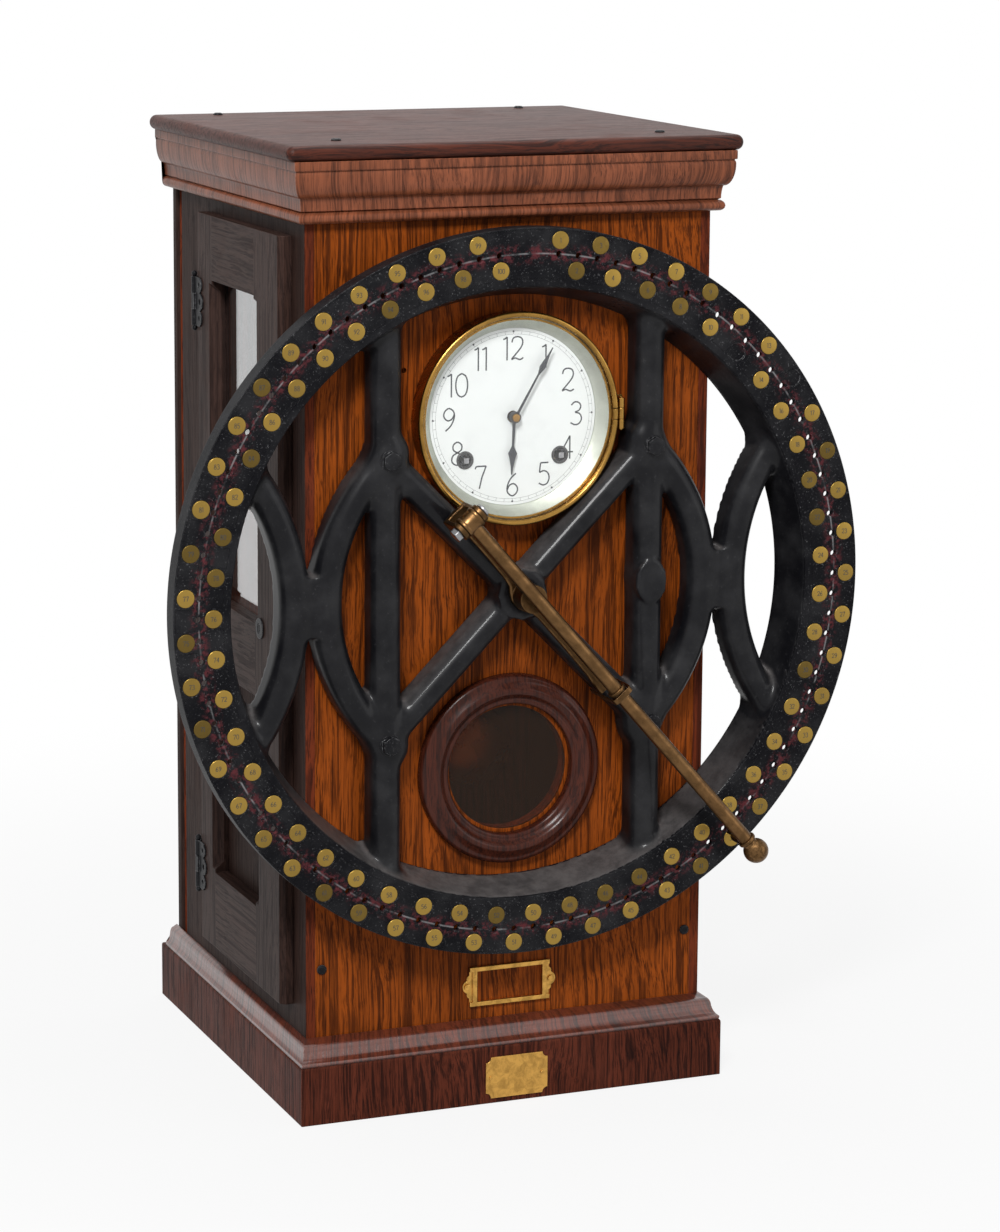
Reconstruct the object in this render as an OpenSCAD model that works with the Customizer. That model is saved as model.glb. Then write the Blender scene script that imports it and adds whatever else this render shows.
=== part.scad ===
// Employees' time clock with a numbered ring, in millimetres.
// X is to the right, Y to the back and Z up. The origin is on the floor, under the middle of the plinth.

/* [Case] */
// Width of the case between the outer faces of its sides
case_w = 390; // [360:1:420]
// Depth of the case from the front face to the back of the back board
case_d = 387; // [370:1:420]
// Height of the case wall between the base moulding and the crown
body_h = 737; // [720:1:780]
// Thickness of the two sides
side_t = 18; // [15:0.5:22]
// Thickness of the front board
front_t = 18; // [14:0.5:22]
// Thickness of the back board
back_t = 20; // [14:0.5:24]
// Width of the side's front edge that shows beside the front board
edge_strip = 9; // [6:0.5:12]
// Width of the shadow groove before the back board
groove_w = 13; // [8:0.5:18]
// Depth of the shadow groove before the back board
groove_d = 6; // [3:0.5:8]

/* [Base] */
// Height of the plinth
plinth_h = 54; // [45:1:65]
// Thickness of the plinth boards
plinth_t = 20; // [16:0.5:24]
// Reach of the plinth past the sides of the case
plinth_side = 13; // [8:0.5:18]
// Reach of the plinth past the front of the case
plinth_front = 25; // [18:0.5:30]
// Reach of the plinth past the back board
back_over = 10; // [4:0.5:14]
// Height of the moulding on the plinth
base_mould_h = 20; // [15:0.5:26]
// Thickness of the bottom board
bottom_t = 16; // [12:0.5:20]

/* [Crown] */
// Height of the crown moulding
crown_h = 56; // [48:1:64]
// Reach of the crown past the sides of the case
crown_side = 16; // [12:0.5:18]
// Reach of the crown past the front of the case
crown_front = 22; // [18:0.5:23]
// Thickness of the top board, which has round edges
top_t = 14; // [12:0.5:18]
// Reach of the top board past the sides of the case
top_side = 23; // [19:0.5:28]
// Reach of the top board past the front of the case
top_front = 24; // [24:0.5:32]
// Diameter of the screw heads in the top board
top_screw_d = 9; // [6:0.5:12]
// Spacing of the top screws across the case
top_screw_w = 312; // [280:1:330]

/* [Side door] */
// Height of the side door
door_h = 701; // [680:1:705]
// Height of the door's lower edge above the floor
door_z = 97; // [94:1:104]
// Distance from the front face to the door's front edge
door_front = 33; // [30:0.5:40]
// Width of the side door
door_w = 237; // [225:1:245]
// Thickness of the part of the door that stands proud of the case
door_proud = 12; // [9:0.5:15]
// Thickness of the part of the door that enters the case
door_lip = 8; // [6:0.5:10]
// Step between the proud part of the door and the part that enters the case
door_step = 12; // [8:0.5:14]
// Gap between the door and its frame
door_gap = 1.5; // [1:0.1:3]
// Width of the door's front stile
stile_front = 70; // [60:1:76]
// Width of the door's rear stile
stile_rear = 46; // [40:1:52]
// Height of the door's top rail
rail_top = 60; // [50:1:70]
// Height of the door's glazed opening
glass_h = 300; // [270:1:320]
// Height of the door's lock rail
rail_lock = 68; // [58:1:80]
// Height of the door's bottom rail
rail_bottom = 74; // [64:1:84]
// Width of the stopped chamfer round both openings
stop_chamfer = 8; // [5:0.5:10]
// Thickness of the door's glass
pane_t = 3; // [2:0.5:4]
// Thickness of the door's lower panel
panel_t = 6; // [5:0.5:8]

/* [Ring] */
// Outer diameter of the numbered ring
ring_d = 660; // [650:1:680]
// Height of the ring's middle above the floor
ring_z = 476; // [460:1:490]
// Distance from the front board to the face of the ring
ring_face = 42; // [38:0.5:48]
// Thickness of the ring's flat face
face_t = 6; // [5:0.5:8]
// Depth of the lip round the outer edge
lip_depth = 19.5; // [14:0.5:24]
// Width of the ring's flat face
face_w = 52; // [50:0.5:56]
// Distance by which the sloping wall is narrower at the front board than at the face
wall_slope = 11.5; // [8:0.5:14]
// Thickness of the sloping wall
wall_t = 7; // [5:0.5:9]
// Number of places round the ring, with the places left empty at the top
places = 102; // [102:1:104]
// Number of numbered places
numbers = 100; // [96:2:100]
// Distance of the circle of holes from the rim
hole_in = 23; // [21:0.5:25]
// Diameter of the holes
hole_d = 5.6; // [5:0.1:6.4]
// Distance of the outer circle of number discs from the rim
disc_outer_in = 10.7; // [10:0.1:12]
// Distance of the inner circle of number discs from the rim
disc_inner_in = 36.4; // [34:0.1:38]
// Diameter of the number discs
disc_d = 16.2; // [14:0.1:16.8]
// Thickness of the number discs
disc_t = 1.8; // [1.4:0.1:2.4]
// Depth of the seats of the number discs
seat_depth = 1.2; // [0.8:0.1:1.4]

/* [Spider] */
// Width of the ring's bars and arms
bar_w = 28; // [24:0.5:30]
// Width of the ring's crossed arms
arm_w = 25; // [20:0.5:27]
// Step from the crown of the upright bars down to that of the arms
arm_drop = 1.5; // [1:0.5:3]
// Step from the crown of the upright bars down to that of the arcs
arc_drop = 0.8; // [0.4:0.1:2]
// Distance from the front board to the back of the bars
bar_back = 3; // [2:0.5:6]
// Distance from the front board to the crown of the bars
bar_front = 33; // [30:0.5:35]
// Distance of the upright bars from the middle
bar_x = 127; // [122:0.5:130]
// Distance of the bolts above and below the middle
bolt_z = 128; // [124:0.5:132]
// Radius of the inner arcs
inner_arc_r = 175; // [168:1:190]
// Radius of the outer arcs
outer_arc_r = 206; // [190:1:230]
// Distance from the middle to where the arcs of one side come nearest
arc_meet = 197; // [195:0.5:198]
// Space between the two arcs there, which a web fills
arc_space = 2; // [0:0.5:4]
// Half the height of that web
web_half = 34; // [26:1:40]
// Diameter of the hub's round casting
hub_d = 46; // [42:1:52]
// Distance from the front board to the front of the hub
hub_front = 35; // [34.5:0.5:36]
// Number of beads round the hub
bead_count = 12; // [8:1:16]
// Height of the beads round the hub
bead_h = 7; // [5:0.5:9]
// Diameter of the beads round the hub
bead_d = 7; // [5:0.5:8]
// Diameter of the shank of the ring's bolts
bolt_d = 9; // [8:0.5:10]
// Size of the bolt heads across the flats
bolt_head = 15; // [12:0.5:18]
// Height of the bolt heads
bolt_head_h = 8; // [6:0.5:9]
// Width of the round boss on the right bar
boss_d = 34; // [30:1:38]

/* [Pointer] */
// Diameter of the pointer's shaft
shaft_d = 16; // [14:0.5:18]
// Running clearance round the shaft, on the radius
shaft_fit = 0.05; // [0.03:0.01:0.1]
// Diameter of the push rod inside the shaft
rod_d = 8; // [6:0.5:9]
// Numbered place that the pointer stands at
pointer_place = 39; // [1:1:100]
// Distance from the middle to the lever's hinge
hinge_back = 99; // [94:0.5:104]
// Distance from the front board to the lever's hinge
hinge_out = 66; // [64:0.5:70]
// Lean of the lever away from the ring, in degrees
lever_lean = 4; // [3.6:0.1:4.4]
// Travel of the lever towards the ring, in degrees
lever_travel = 2.4; // [2:0.1:2.6]
// Diameter of the lever's tube
tube_d = 13; // [11:0.5:14]
// Length from the lever's hinge to the middle of its knob
lever_len = 417; // [410:1:424]
// Diameter of the lever's knob
knob_d = 23; // [20:0.5:26]
// Diameter of the hinge barrel
barrel_d = 20; // [18:0.5:22]
// Width of the hinge barrel
barrel_w = 17; // [14:0.5:20]
// Diameter of the hinge pin
hinge_pin_d = 8; // [6:0.5:9]
// Width of the bracket bar
bracket_w = 11; // [9:0.5:13]
// Thickness of the bracket bar
bracket_t = 6; // [5:0.5:7]
// Diameter of the bracket's hub
bracket_hub_d = 26; // [24:0.5:30]
// Distance from the front board to the front of the bracket's hub
bracket_hub_front = 60; // [58:0.5:61]
// Distance from the middle to the collar on the lever
collar_at = 114; // [108:0.5:118]
// Diameter of the collar on the lever
collar_d = 17; // [15:0.5:19]
// Length of the collar
collar_len = 11; // [8:0.5:14]
// Thickness of the stirrup that holds the collar
stirrup_t = 2.5; // [2:0.5:3]
// Diameter of the pin that enters the ring's holes
punch_d = 4; // [3:0.1:4.6]
// Diameter of the pin's sleeve
punch_sleeve_d = 11; // [9:0.5:13]
// Clearance between the pin's tip and the ring's face at rest
punch_clear = 8; // [7:0.5:10]
// Bare length of the pin below its sleeve
punch_len = 11.5; // [11:0.5:14]

/* [Dial] */
// Height of the dial's middle above the floor
dial_z = 633; // [625:1:640]
// Outer diameter of the brass bezel
bezel_d = 193; // [188:1:200]
// Distance from the front board to the front of the bezel
bezel_front = 24; // [20:0.5:28]
// Radial width of the bezel
bezel_w = 8; // [6:0.5:10]
// Diameter of the white dial
dial_d = 164; // [150:1:164]
// Thickness of the dial plate
dial_t = 1.5; // [1:0.1:2]
// Distance from the front board to the face of the dial
dial_face = 6; // [5:0.5:8]
// Thickness of the bezel's glass
glass_t = 2; // [1.6:0.1:3]
// Diameter of the winding squares
wind_d = 7; // [6:0.5:8]
// Distance of the winding squares from the middle, sideways
wind_x = 46; // [40:0.5:50]
// Distance of the winding squares below the middle
wind_z = 37; // [32:0.5:42]
// Minute that the hands show
show_minute = 5; // [0:1:59]
// Hour that the hands show
show_hour = 6; // [1:1:12]

/* [Window] */
// Height of the pendulum window's middle above the floor
window_z = 309; // [300:1:316]
// Outer diameter of the turned wooden bezel
window_d = 176; // [168:1:184]
// Diameter of the opening in the wooden bezel
window_open = 121; // [112:1:128]
// Thickness of the wooden bezel
window_t = 14; // [10:0.5:18]

/* [Works] */
// Distance between the movement's plates
plate_gap = 44; // [38:0.5:50]
// Thickness of the movement's plates
plate_t = 3; // [2.5:0.1:4]
// Width of the movement's plates
plate_w = 124; // [110:1:130]
// Height of the movement's plates
plate_h = 120; // [110:1:126]
// Distance from the front face to the front plate
plate_at = 24; // [20:0.5:28]
// Swing of the pendulum to each side, in degrees
pendulum_swing = 3; // [2:0.5:3]
// Diameter of the pendulum's bob
bob_d = 76; // [60:1:90]
// Distance from the front face to the pendulum
pendulum_at = 86; // [84:0.5:92]
// Diameter of the sheet drum
drum_d = 236; // [200:1:240]
// Length of the sheet drum
drum_len = 150; // [120:1:155]
// Distance from the front face to the sheet drum
drum_at = 108; // [104:1:112]

/* [Fittings] */
// Width of the label holder
label_w = 79; // [70:1:88]
// Height of the label holder
label_h = 37; // [32:1:42]
// Height of the label holder's middle above the floor
label_z = 105; // [100:1:110]
// Width of the bare plate on the plinth
nameplate_w = 61; // [54:1:68]
// Height of the bare plate on the plinth
nameplate_h = 39; // [32:1:44]
// Diameter of the small round screw heads
small_screw_d = 6; // [5:0.5:8]

/* [Hidden] */
$fn = 48;

// Small amount by which a cut passes a face
eps = 0.5;
// Gap that keeps two moving pieces apart
air = 0.3;

// Levels and planes of the case
plinth_w = case_w + 2 * plinth_side;
plinth_d = plinth_front + case_d + back_over;
front_y = plinth_front - plinth_d / 2;
back_y = front_y + case_d;
body_z = plinth_h + base_mould_h;
crown_z = body_z + body_h;
top_z = crown_z + crown_h;
side_x = case_w / 2;
face_inner = ring_d / 2 - face_w;
wall_inner = face_inner - wall_slope;
hole_r = ring_d / 2 - hole_in;
disc_outer_r = ring_d / 2 - disc_outer_in;
disc_inner_r = ring_d / 2 - disc_inner_in;
inner_x = side_x - side_t;
side_end = back_y - back_t;

// Colours
oak = [0.52, 0.26, 0.10];
dark_wood = [0.27, 0.14, 0.11];
side_wood = [0.31, 0.25, 0.23];
iron = [0.10, 0.10, 0.11];
brass = [0.72, 0.56, 0.28];
old_brass = [0.47, 0.33, 0.22];
steel = [0.62, 0.62, 0.64];
silver = [0.68, 0.70, 0.65];
white = [0.90, 0.91, 0.90];
clear = [0.75, 0.80, 0.80, 0.35];

// Offset of the label holder to the right
label_x = 3;

// Places children on the front face at x and z, with their Z axis out of the front
module on_front(x, z) {
    translate([x, front_y, z]) rotate([90, 0, 0]) children();
}

// Places children on the ring's axis, with their Z axis out of the front
module on_ring() {
    on_front(0, ring_z) children();
}

// Box from one corner to the other
module span(low, high) {
    translate(low) cube(high - low);
}

// Profile of the base moulding, from the bottom up: bead, flare, quarter round and slope
function base_profile(reach) = concat(
    [[0, 0], [reach - 1, 0], [reach, 1], [reach, base_mould_h * 0.16]],
    [for (t = [0:0.25:1]) [reach * (0.62 + 0.34 * pow(1 - t, 1.4)), base_mould_h * (0.2 + 0.32 * t)]],
    [for (a = [15:15:90]) [reach * (0.40 + 0.22 * cos(a)), base_mould_h * (0.52 + 0.38 * sin(a))]],
    [[reach * 0.06, base_mould_h], [0, base_mould_h]]
);

// Profile of the crown: fillet, big ovolo, cove and bead, from the bottom up
function crown_profile(reach) = concat(
    [[0, 0]],
    [for (a = [-90:22.5:90]) [reach * (0.28 + 0.29 * cos(a)), crown_h * (0.10 + 0.09 * sin(a))]],
    [for (t = [0:0.2:1]) [reach * (0.40 + 0.07 * t * t), crown_h * (0.22 + 0.19 * t)]],
    [for (a = [-90:15:0]) [reach * (0.49 + 0.46 * cos(a)), crown_h * (0.78 + 0.36 * sin(a))]],
    [[reach * 0.90, crown_h * 0.84], [reach * 0.90, crown_h * 0.855], [reach, crown_h * 0.855],
        [reach, crown_h], [0, crown_h]]
);

// Moulding round the front and both sides, with mitred corners, as one closed shape
module mitred(front_points, side_points, z) {
    n = len(front_points);
    right = [for (p = side_points) [side_x + p[0], back_y, z + p[1]]];
    right_mitre = [for (i = [0:n - 1])
        [side_x + side_points[i][0], front_y - front_points[i][0], z + side_points[i][1]]];
    left_mitre = [for (p = right_mitre) [-p[0], p[1], p[2]]];
    left = [for (p = right) [-p[0], p[1], p[2]]];
    polyhedron(
        concat(right, right_mitre, left_mitre, left),
        concat(
            [[for (i = [0:n - 1]) i], [for (i = [n - 1:-1:0]) 3 * n + i]],
            [for (k = [0:2]) for (i = [0:n - 1])
                [k * n + (i + 1) % n, k * n + i, (k + 1) * n + i, (k + 1) * n + (i + 1) % n]]
        )
    );
}

// Plinth: boards round the edge and one rail across the middle
module plinth() {
    in_w = plinth_w - 2 * plinth_t;
    in_d = plinth_d - 2 * plinth_t;
    color(dark_wood) difference() {
        linear_extrude(plinth_h) difference() {
            square([plinth_w, plinth_d], center = true);
            for (s = [-1, 1]) translate([-in_w / 2, s > 0 ? plinth_t / 2 : -in_d / 2])
                square([in_w, in_d / 2 - plinth_t / 2]);
        }
        for (s = [-1, 1]) translate([1 + s * pin_x, -plinth_d / 2 - eps, plinth_h / 2 - 2.5])
            rotate([-90, 0, 0]) cylinder(h = 5, d = 2);
    }
}

module base_moulding() {
    color(dark_wood) mitred(base_profile(plinth_front - 1), base_profile(plinth_side - 1), plinth_h);
}

// Bottom board, which rests on the plinth and closes the case below
module bottom_board() {
    color(dark_wood) span([-inner_x, front_y + front_t, plinth_h], [inner_x, side_end, plinth_h + bottom_t]);
}

// Outline of one side seen from above, with its front edge and its groove
module side_plan() {
    difference() {
        translate([inner_x, front_y]) square([side_t, side_end - front_y]);
        translate([inner_x - eps, front_y - eps])
            square([side_t - edge_strip + eps, front_t + eps]);
        translate([side_x - groove_d, side_end - groove_w]) square([groove_d + eps, groove_w + eps]);
    }
}

// Left side: a frame round the door's opening
module side_frame_left() {
    color(side_wood) difference() {
        mirror([1, 0, 0]) translate([0, 0, plinth_h]) linear_extrude(top_z - plinth_h) side_plan();
        span([-side_x - eps, door_y0 + door_step - door_gap, door_z + door_step - door_gap],
            [-inner_x + eps, door_y1 - door_step + door_gap, door_z + door_h - door_step + door_gap]);
    }
}

module side_board_right() {
    color(side_wood) translate([0, 0, plinth_h]) linear_extrude(top_z - plinth_h) side_plan();
}

// Front board with its openings for the dial, the shaft, the pendulum window and the bolts
module front_board() {
    half = side_x - edge_strip;
    color(oak) difference() {
        span([-half, front_y, body_z - base_mould_h], [half, front_y + front_t, top_z]);
        on_front(0, dial_z) translate([0, 0, -front_t - eps])
            cylinder(h = front_t + 2 * eps, d = dial_hole_d);
        on_front(0, window_z) translate([0, 0, -front_t - eps])
            cylinder(h = front_t + 2 * eps, d = window_open - 6);
        on_ring() translate([0, 0, -front_t - eps]) cylinder(h = front_t + 2 * eps, d = shaft_d + 14);
        on_ring() for (x = [-1, 1]) for (y = [-1, 1])
            translate([x * bar_x, y * bolt_z, -front_t - eps])
                cylinder(h = front_t + 2 * eps, d = bolt_d);
        on_front(small_hole_x, small_hole_z) translate([0, 0, -6]) cylinder(h = 7, d = 5);
        for (s = [-1, 1]) on_front(label_x + s * (label_w / 2 + 2), label_z)
            translate([0, 0, -6.5]) cylinder(h = 7, d = 3);
    }
}
// Place of the small blind hole beside the dial
small_hole_x = -102;
small_hole_z = 678.5;

// Back board with round upright edges
module back_board() {
    r = back_t / 3;
    color(side_wood) translate([0, 0, plinth_h]) linear_extrude(top_z - plinth_h) union() {
        translate([-side_x + r, side_end]) square([case_w - 2 * r, back_t]);
        translate([-side_x, side_end + r]) square([case_w, back_t - 2 * r]);
        for (s = [-1, 1]) for (y = [side_end + r, back_y - r])
            translate([s * (side_x - r), y]) circle(r);
    }
}

module crown_moulding() {
    color(dark_wood) mitred(crown_profile(crown_front), crown_profile(crown_side), crown_z);
}

// Top board with a half-round edge at the front and both sides
module top_board() {
    r = top_t / 2;
    x = side_x + top_side - r;
    y0 = front_y - top_front + r;
    y1 = back_y;
    color(dark_wood) translate([0, 0, top_z + r]) union() {
        span([-x, y0, -r], [x, y1, r]);
        translate([-x, y0, 0]) rotate([0, 90, 0]) cylinder(h = 2 * x, r = r);
        for (s = [-1, 1]) translate([s * x, y0, 0]) {
            rotate([-90, 0, 0]) cylinder(h = y1 - y0, r = r);
            sphere(r);
        }
    }
}

// Four screws with low round heads in the top board
module top_screws() {
    inset = 27;
    color(iron) for (s = [-1, 1]) for (y = [front_y + inset, back_y - inset])
        translate([s * top_screw_w / 2, y, top_z + top_t]) {
            cylinder(h = 1.2, d = top_screw_d);
            translate([0, 0, 1.2]) cylinder(h = 0.8, d1 = top_screw_d, d2 = top_screw_d - 3, $fn = 48);
        }
}

// Place of the front board's screws, from the case's side and from the base moulding
front_screw_in = 15;
front_screw_up = 63;

// Two screws that hold the front board at its lower corners
module front_screws() {
    color(iron) for (s = [-1, 1]) on_front(s * (side_x - front_screw_in), body_z + front_screw_up) {
        cylinder(h = 1.2, d = top_screw_d);
        translate([0, 0, 1.2]) cylinder(h = 0.8, d1 = top_screw_d, d2 = top_screw_d - 3, $fn = 48);
    }
}

// Edges of the side door and of its openings
door_y0 = front_y + door_front;
door_y1 = door_y0 + door_w;
door_top = door_z + door_h;
open_y0 = door_y0 + stile_front;
open_y1 = door_y1 - stile_rear;
glass_z1 = door_top - rail_top;
glass_z0 = glass_z1 - glass_h;
panel_z1 = glass_z0 - rail_lock;
panel_z0 = door_z + rail_bottom;
door_out_x = side_x + air + door_proud;

// Opening in the door with a chamfer round its outer edge
module door_opening(z0, z1) {
    span([-door_out_x - eps, open_y0, z0], [-side_x + door_lip + eps, open_y1, z1]);
    hull() {
        span([-door_out_x - eps, open_y0 - stop_chamfer - eps, z0 + 3],
            [-door_out_x, open_y1 + stop_chamfer + eps, z1 - 3]);
        span([-door_out_x + stop_chamfer, open_y0, z0 + 3 + stop_chamfer],
            [-door_out_x + stop_chamfer + eps, open_y1, z1 - 3 - stop_chamfer]);
    }
}

// Side door: a proud frame with a lip that enters the case
module side_door_frame() {
    color(side_wood) difference() {
        union() {
            span([-door_out_x, door_y0, door_z], [-side_x - air, door_y1, door_top]);
            span([-side_x - air, door_y0 + door_step, door_z + door_step],
                [-side_x + door_lip, door_y1 - door_step, door_top - door_step]);
        }
        door_opening(glass_z0, glass_z1);
        door_opening(panel_z0, panel_z1);
        for (z = [[glass_z0, glass_z1], [panel_z0, panel_z1]])
            span([-side_x + door_lip - pane_seat, open_y0 - 6, z[0] - 6],
                [-side_x + door_lip + eps, open_y1 + 6, z[1] + 6]);
        translate([-door_out_x - eps, lock_y, lock_z]) rotate([0, 90, 0])
            cylinder(h = door_proud + door_lip + 2, d = lock_d - 2);
        for (y = [door_y0, door_y1]) translate([-door_out_x, y, door_z - eps])
            rotate([0, 0, 45]) translate([-3, -3, 0]) cube([6, 6, door_h + 2 * eps]);
    }
}
pane_seat = 7;
lock_y = front_y + 87;
lock_z = 436;
lock_d = 16;

module side_door_glass() {
    color(clear) span([-side_x + door_lip - pane_seat, open_y0 - 5.5, glass_z0 - 5.5],
        [-side_x + door_lip - pane_seat + pane_t, open_y1 + 5.5, glass_z1 + 5.5]);
}

module side_door_panel() {
    color(side_wood) span([-side_x + door_lip - pane_seat, open_y0 - 5.5, panel_z0 - 5.5],
        [-side_x + door_lip - pane_seat + panel_t, open_y1 + 5.5, panel_z1 + 5.5]);
}

// Hinges of the side door
hinge_h = 46;
hinge_leaf_w = 20;
hinge_leaf_t = 1.6;
hinge_knuckle_d = 6;
hinge_rod_d = 3;
hinge_x = -door_out_x - 1;
hinge_y = door_y1 + hinge_knuckle_d / 2 + 0.6;
hinge_zs = [168, 714];

// Openwork leaf that lies flat: width, height, with three holes
module pierced_leaf(w, h) {
    difference() {
        union() {
            translate([0, -h / 2]) square([w * 0.62, h]);
            translate([w * 0.62, 0]) circle(d = w * 0.76);
            for (s = [-1, 1]) translate([w * 0.55, s * h * 0.34]) circle(d = w * 0.62);
        }
        translate([w * 0.62, 0]) circle(d = w * 0.3);
        for (s = [-1, 1]) translate([w * 0.5, s * h * 0.34]) circle(d = w * 0.26);
    }
}

module knuckle(z, h) {
    translate([hinge_x, hinge_y, z]) difference() {
        cylinder(h = h, d = hinge_knuckle_d);
        translate([0, 0, -eps]) cylinder(h = h + 2 * eps, d = hinge_rod_d + 0.1);
    }
}

// Case leaves, with a block that carries each leaf out to the knuckle
module door_hinge_case_leaves() {
    part = hinge_h / 3;
    color(iron) for (z = hinge_zs) difference() {
        union() {
            translate([-side_x, hinge_y + 3.6, z]) rotate([90, 0, 90]) mirror([0, 0, 1])
                linear_extrude(hinge_leaf_t) pierced_leaf(hinge_leaf_w, hinge_h);
            for (end = [-1, 1]) {
                low = z + (end < 0 ? -hinge_h / 2 : hinge_h / 2 - part + air);
                knuckle(low, part - air);
                span([hinge_x + 0.6, hinge_y + 0.8, low], [-side_x, hinge_y + 5.2, low + part - air]);
            }
        }
        translate([hinge_x, hinge_y, z - hinge_h]) cylinder(h = 2 * hinge_h, d = hinge_rod_d + 0.1);
    }
}

module door_hinge_door_leaves() {
    part = hinge_h / 3;
    color(iron) for (z = hinge_zs) difference() {
        union() {
            translate([-door_out_x, door_y1 - 0.6, z]) rotate([90, 0, -90])
                linear_extrude(hinge_leaf_t) pierced_leaf(hinge_leaf_w, hinge_h);
            knuckle(z - part / 2, part);
            span([hinge_x - hinge_knuckle_d / 2 + 0.3, door_y1 - 2, z - part / 2],
                [-door_out_x, hinge_y, z + part / 2]);
        }
        translate([hinge_x, hinge_y, z - hinge_h]) cylinder(h = 2 * hinge_h, d = hinge_rod_d + 0.1);
    }
}

module door_hinge_pins() {
    ball = hinge_rod_d / 2 + 1.2;
    color(iron) for (z = hinge_zs) translate([hinge_x, hinge_y, z]) {
        translate([0, 0, -hinge_h / 2 - ball]) cylinder(h = hinge_h + 2 * ball, d = hinge_rod_d);
        for (s = [-1, 1]) translate([0, 0, s * (hinge_h / 2 + ball)]) sphere(ball);
    }
}

// Ring of the door's lock, with its body through the door
module door_lock_ring() {
    color(steel) translate([-door_out_x - 1.5, lock_y, lock_z]) rotate([0, 90, 0]) difference() {
        union() {
            cylinder(h = 1.5, d = lock_d + 3);
            cylinder(h = door_proud + door_lip + 3, d = lock_d - 2.2);
        }
        translate([0, 0, -eps]) cylinder(h = door_proud + door_lip + 4, d = 10);
    }
}

// Plug of the lock, with a keyway and the cam that catches behind the frame
module door_lock_plug() {
    cam_x = -inner_x + 1;
    color(steel) difference() {
        union() {
            translate([-door_out_x - 1.2, lock_y, lock_z]) rotate([0, 90, 0])
                cylinder(h = cam_x + door_out_x + 1.2, d = 9.9);
            translate([cam_x, lock_y, lock_z]) rotate([0, 90, 0]) linear_extrude(2.5) union() {
                circle(d = 13);
                translate([0, -5]) square([54, 10]);
            }
        }
        translate([-door_out_x - 1.2 - eps, lock_y - 0.8, lock_z - 3.5]) cube([6, 1.6, 7]);
    }
}

// Angle of a numbered place, clockwise from the top; the empty places lie at the top
pitch = 360 / places;
function place_angle(k) = 180 + (k - (numbers + 1) / 2) * pitch;
function on_circle(r, angle) = [r * sin(angle), r * cos(angle), 0];

// Ring with its flat face, outer lip and sloping inner wall
module number_ring() {
    r = ring_d / 2;
    color(iron) on_ring() difference() {
        rotate_extrude($fn = 128) polygon([
            [face_inner, ring_face], [r - 1, ring_face], [r, ring_face - 1], [r, ring_face - lip_depth],
            [r - 5, ring_face - lip_depth], [r - 5, ring_face - face_t], [wall_top, ring_face - face_t]
        ]);
        for (k = [1:numbers]) {
            translate(on_circle(hole_r, place_angle(k)) + [0, 0, ring_face - face_t - eps])
                cylinder(h = face_t + 2 * eps, d = hole_d, $fn = 24);
            translate(on_circle(disc_radius(k), place_angle(k)) + [0, 0, ring_face - seat_depth])
                cylinder(h = seat_depth + eps, d = disc_d + 0.1, $fn = 24);
        }
    }
}
// Radius of the inside of the wall where it meets the back of the face
wall_top = face_inner - (face_inner - wall_inner) * face_t / (ring_face - 0.5);

// Inner wall of the ring, which widens from the front board to the face
module ring_wall() {
    color(iron) on_ring() rotate_extrude($fn = 128) polygon([
        [wall_inner, 0.5], [wall_inner + wall_t, 0.5],
        [wall_top + wall_t, ring_face - face_t], [wall_top, ring_face - face_t]
    ]);
}

function disc_radius(k) = k % 2 == 1 ? disc_outer_r : disc_inner_r;
// Places whose disc has been lost
lost = [12, 15];

module number_discs() {
    color(brass) on_ring() for (k = [1:numbers]) if (len(search(k, lost)) == 0)
        translate(on_circle(disc_radius(k), place_angle(k)) + [0, 0, ring_face - seat_depth])
            cylinder(h = disc_t, d = disc_d, $fn = 24);
}

// Straight bar of the spider from one point to another, with a round front
module bar(from, to, w, crown) {
    d = to - from;
    translate([from[0], from[1], 0]) rotate([0, 0, atan2(d[1], d[0])])
        rotate([90, 0, 90]) linear_extrude(norm(d)) bar_section(w, crown);
}

// Section of a bar: flat at the back and half round at the front
module bar_section(w, crown) {
    r = w / 2;
    corner = r * cos(60);
    polygon([
        [-r, bar_back], [r, bar_back], [r, crown - r], [r * cos(30), crown - corner],
        [corner, crown - r + r * cos(30)], [-corner, crown - r + r * cos(30)],
        [-r * cos(30), crown - corner], [-r, crown - r]
    ]);
}

// Arc of the spider about a middle point, between two angles
module arc(middle, r, a0, a1) {
    translate([middle[0], middle[1], 0]) rotate([0, 0, a0]) rotate_extrude(angle = a1 - a0, $fn = 128)
        translate([r, 0]) bar_section(bar_w, bar_front - arc_drop);
}

// Half of the angle that the inner and the outer arc cover
inner_arc_half = 50;
outer_arc_half = 35;

// Middles of the inner and the outer arc of the right-hand side
inner_mid = [arc_meet - (bar_w + arc_space) / 2 - inner_arc_r, 0];
outer_mid = [arc_meet + (bar_w + arc_space) / 2 + outer_arc_r, 0];

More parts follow.
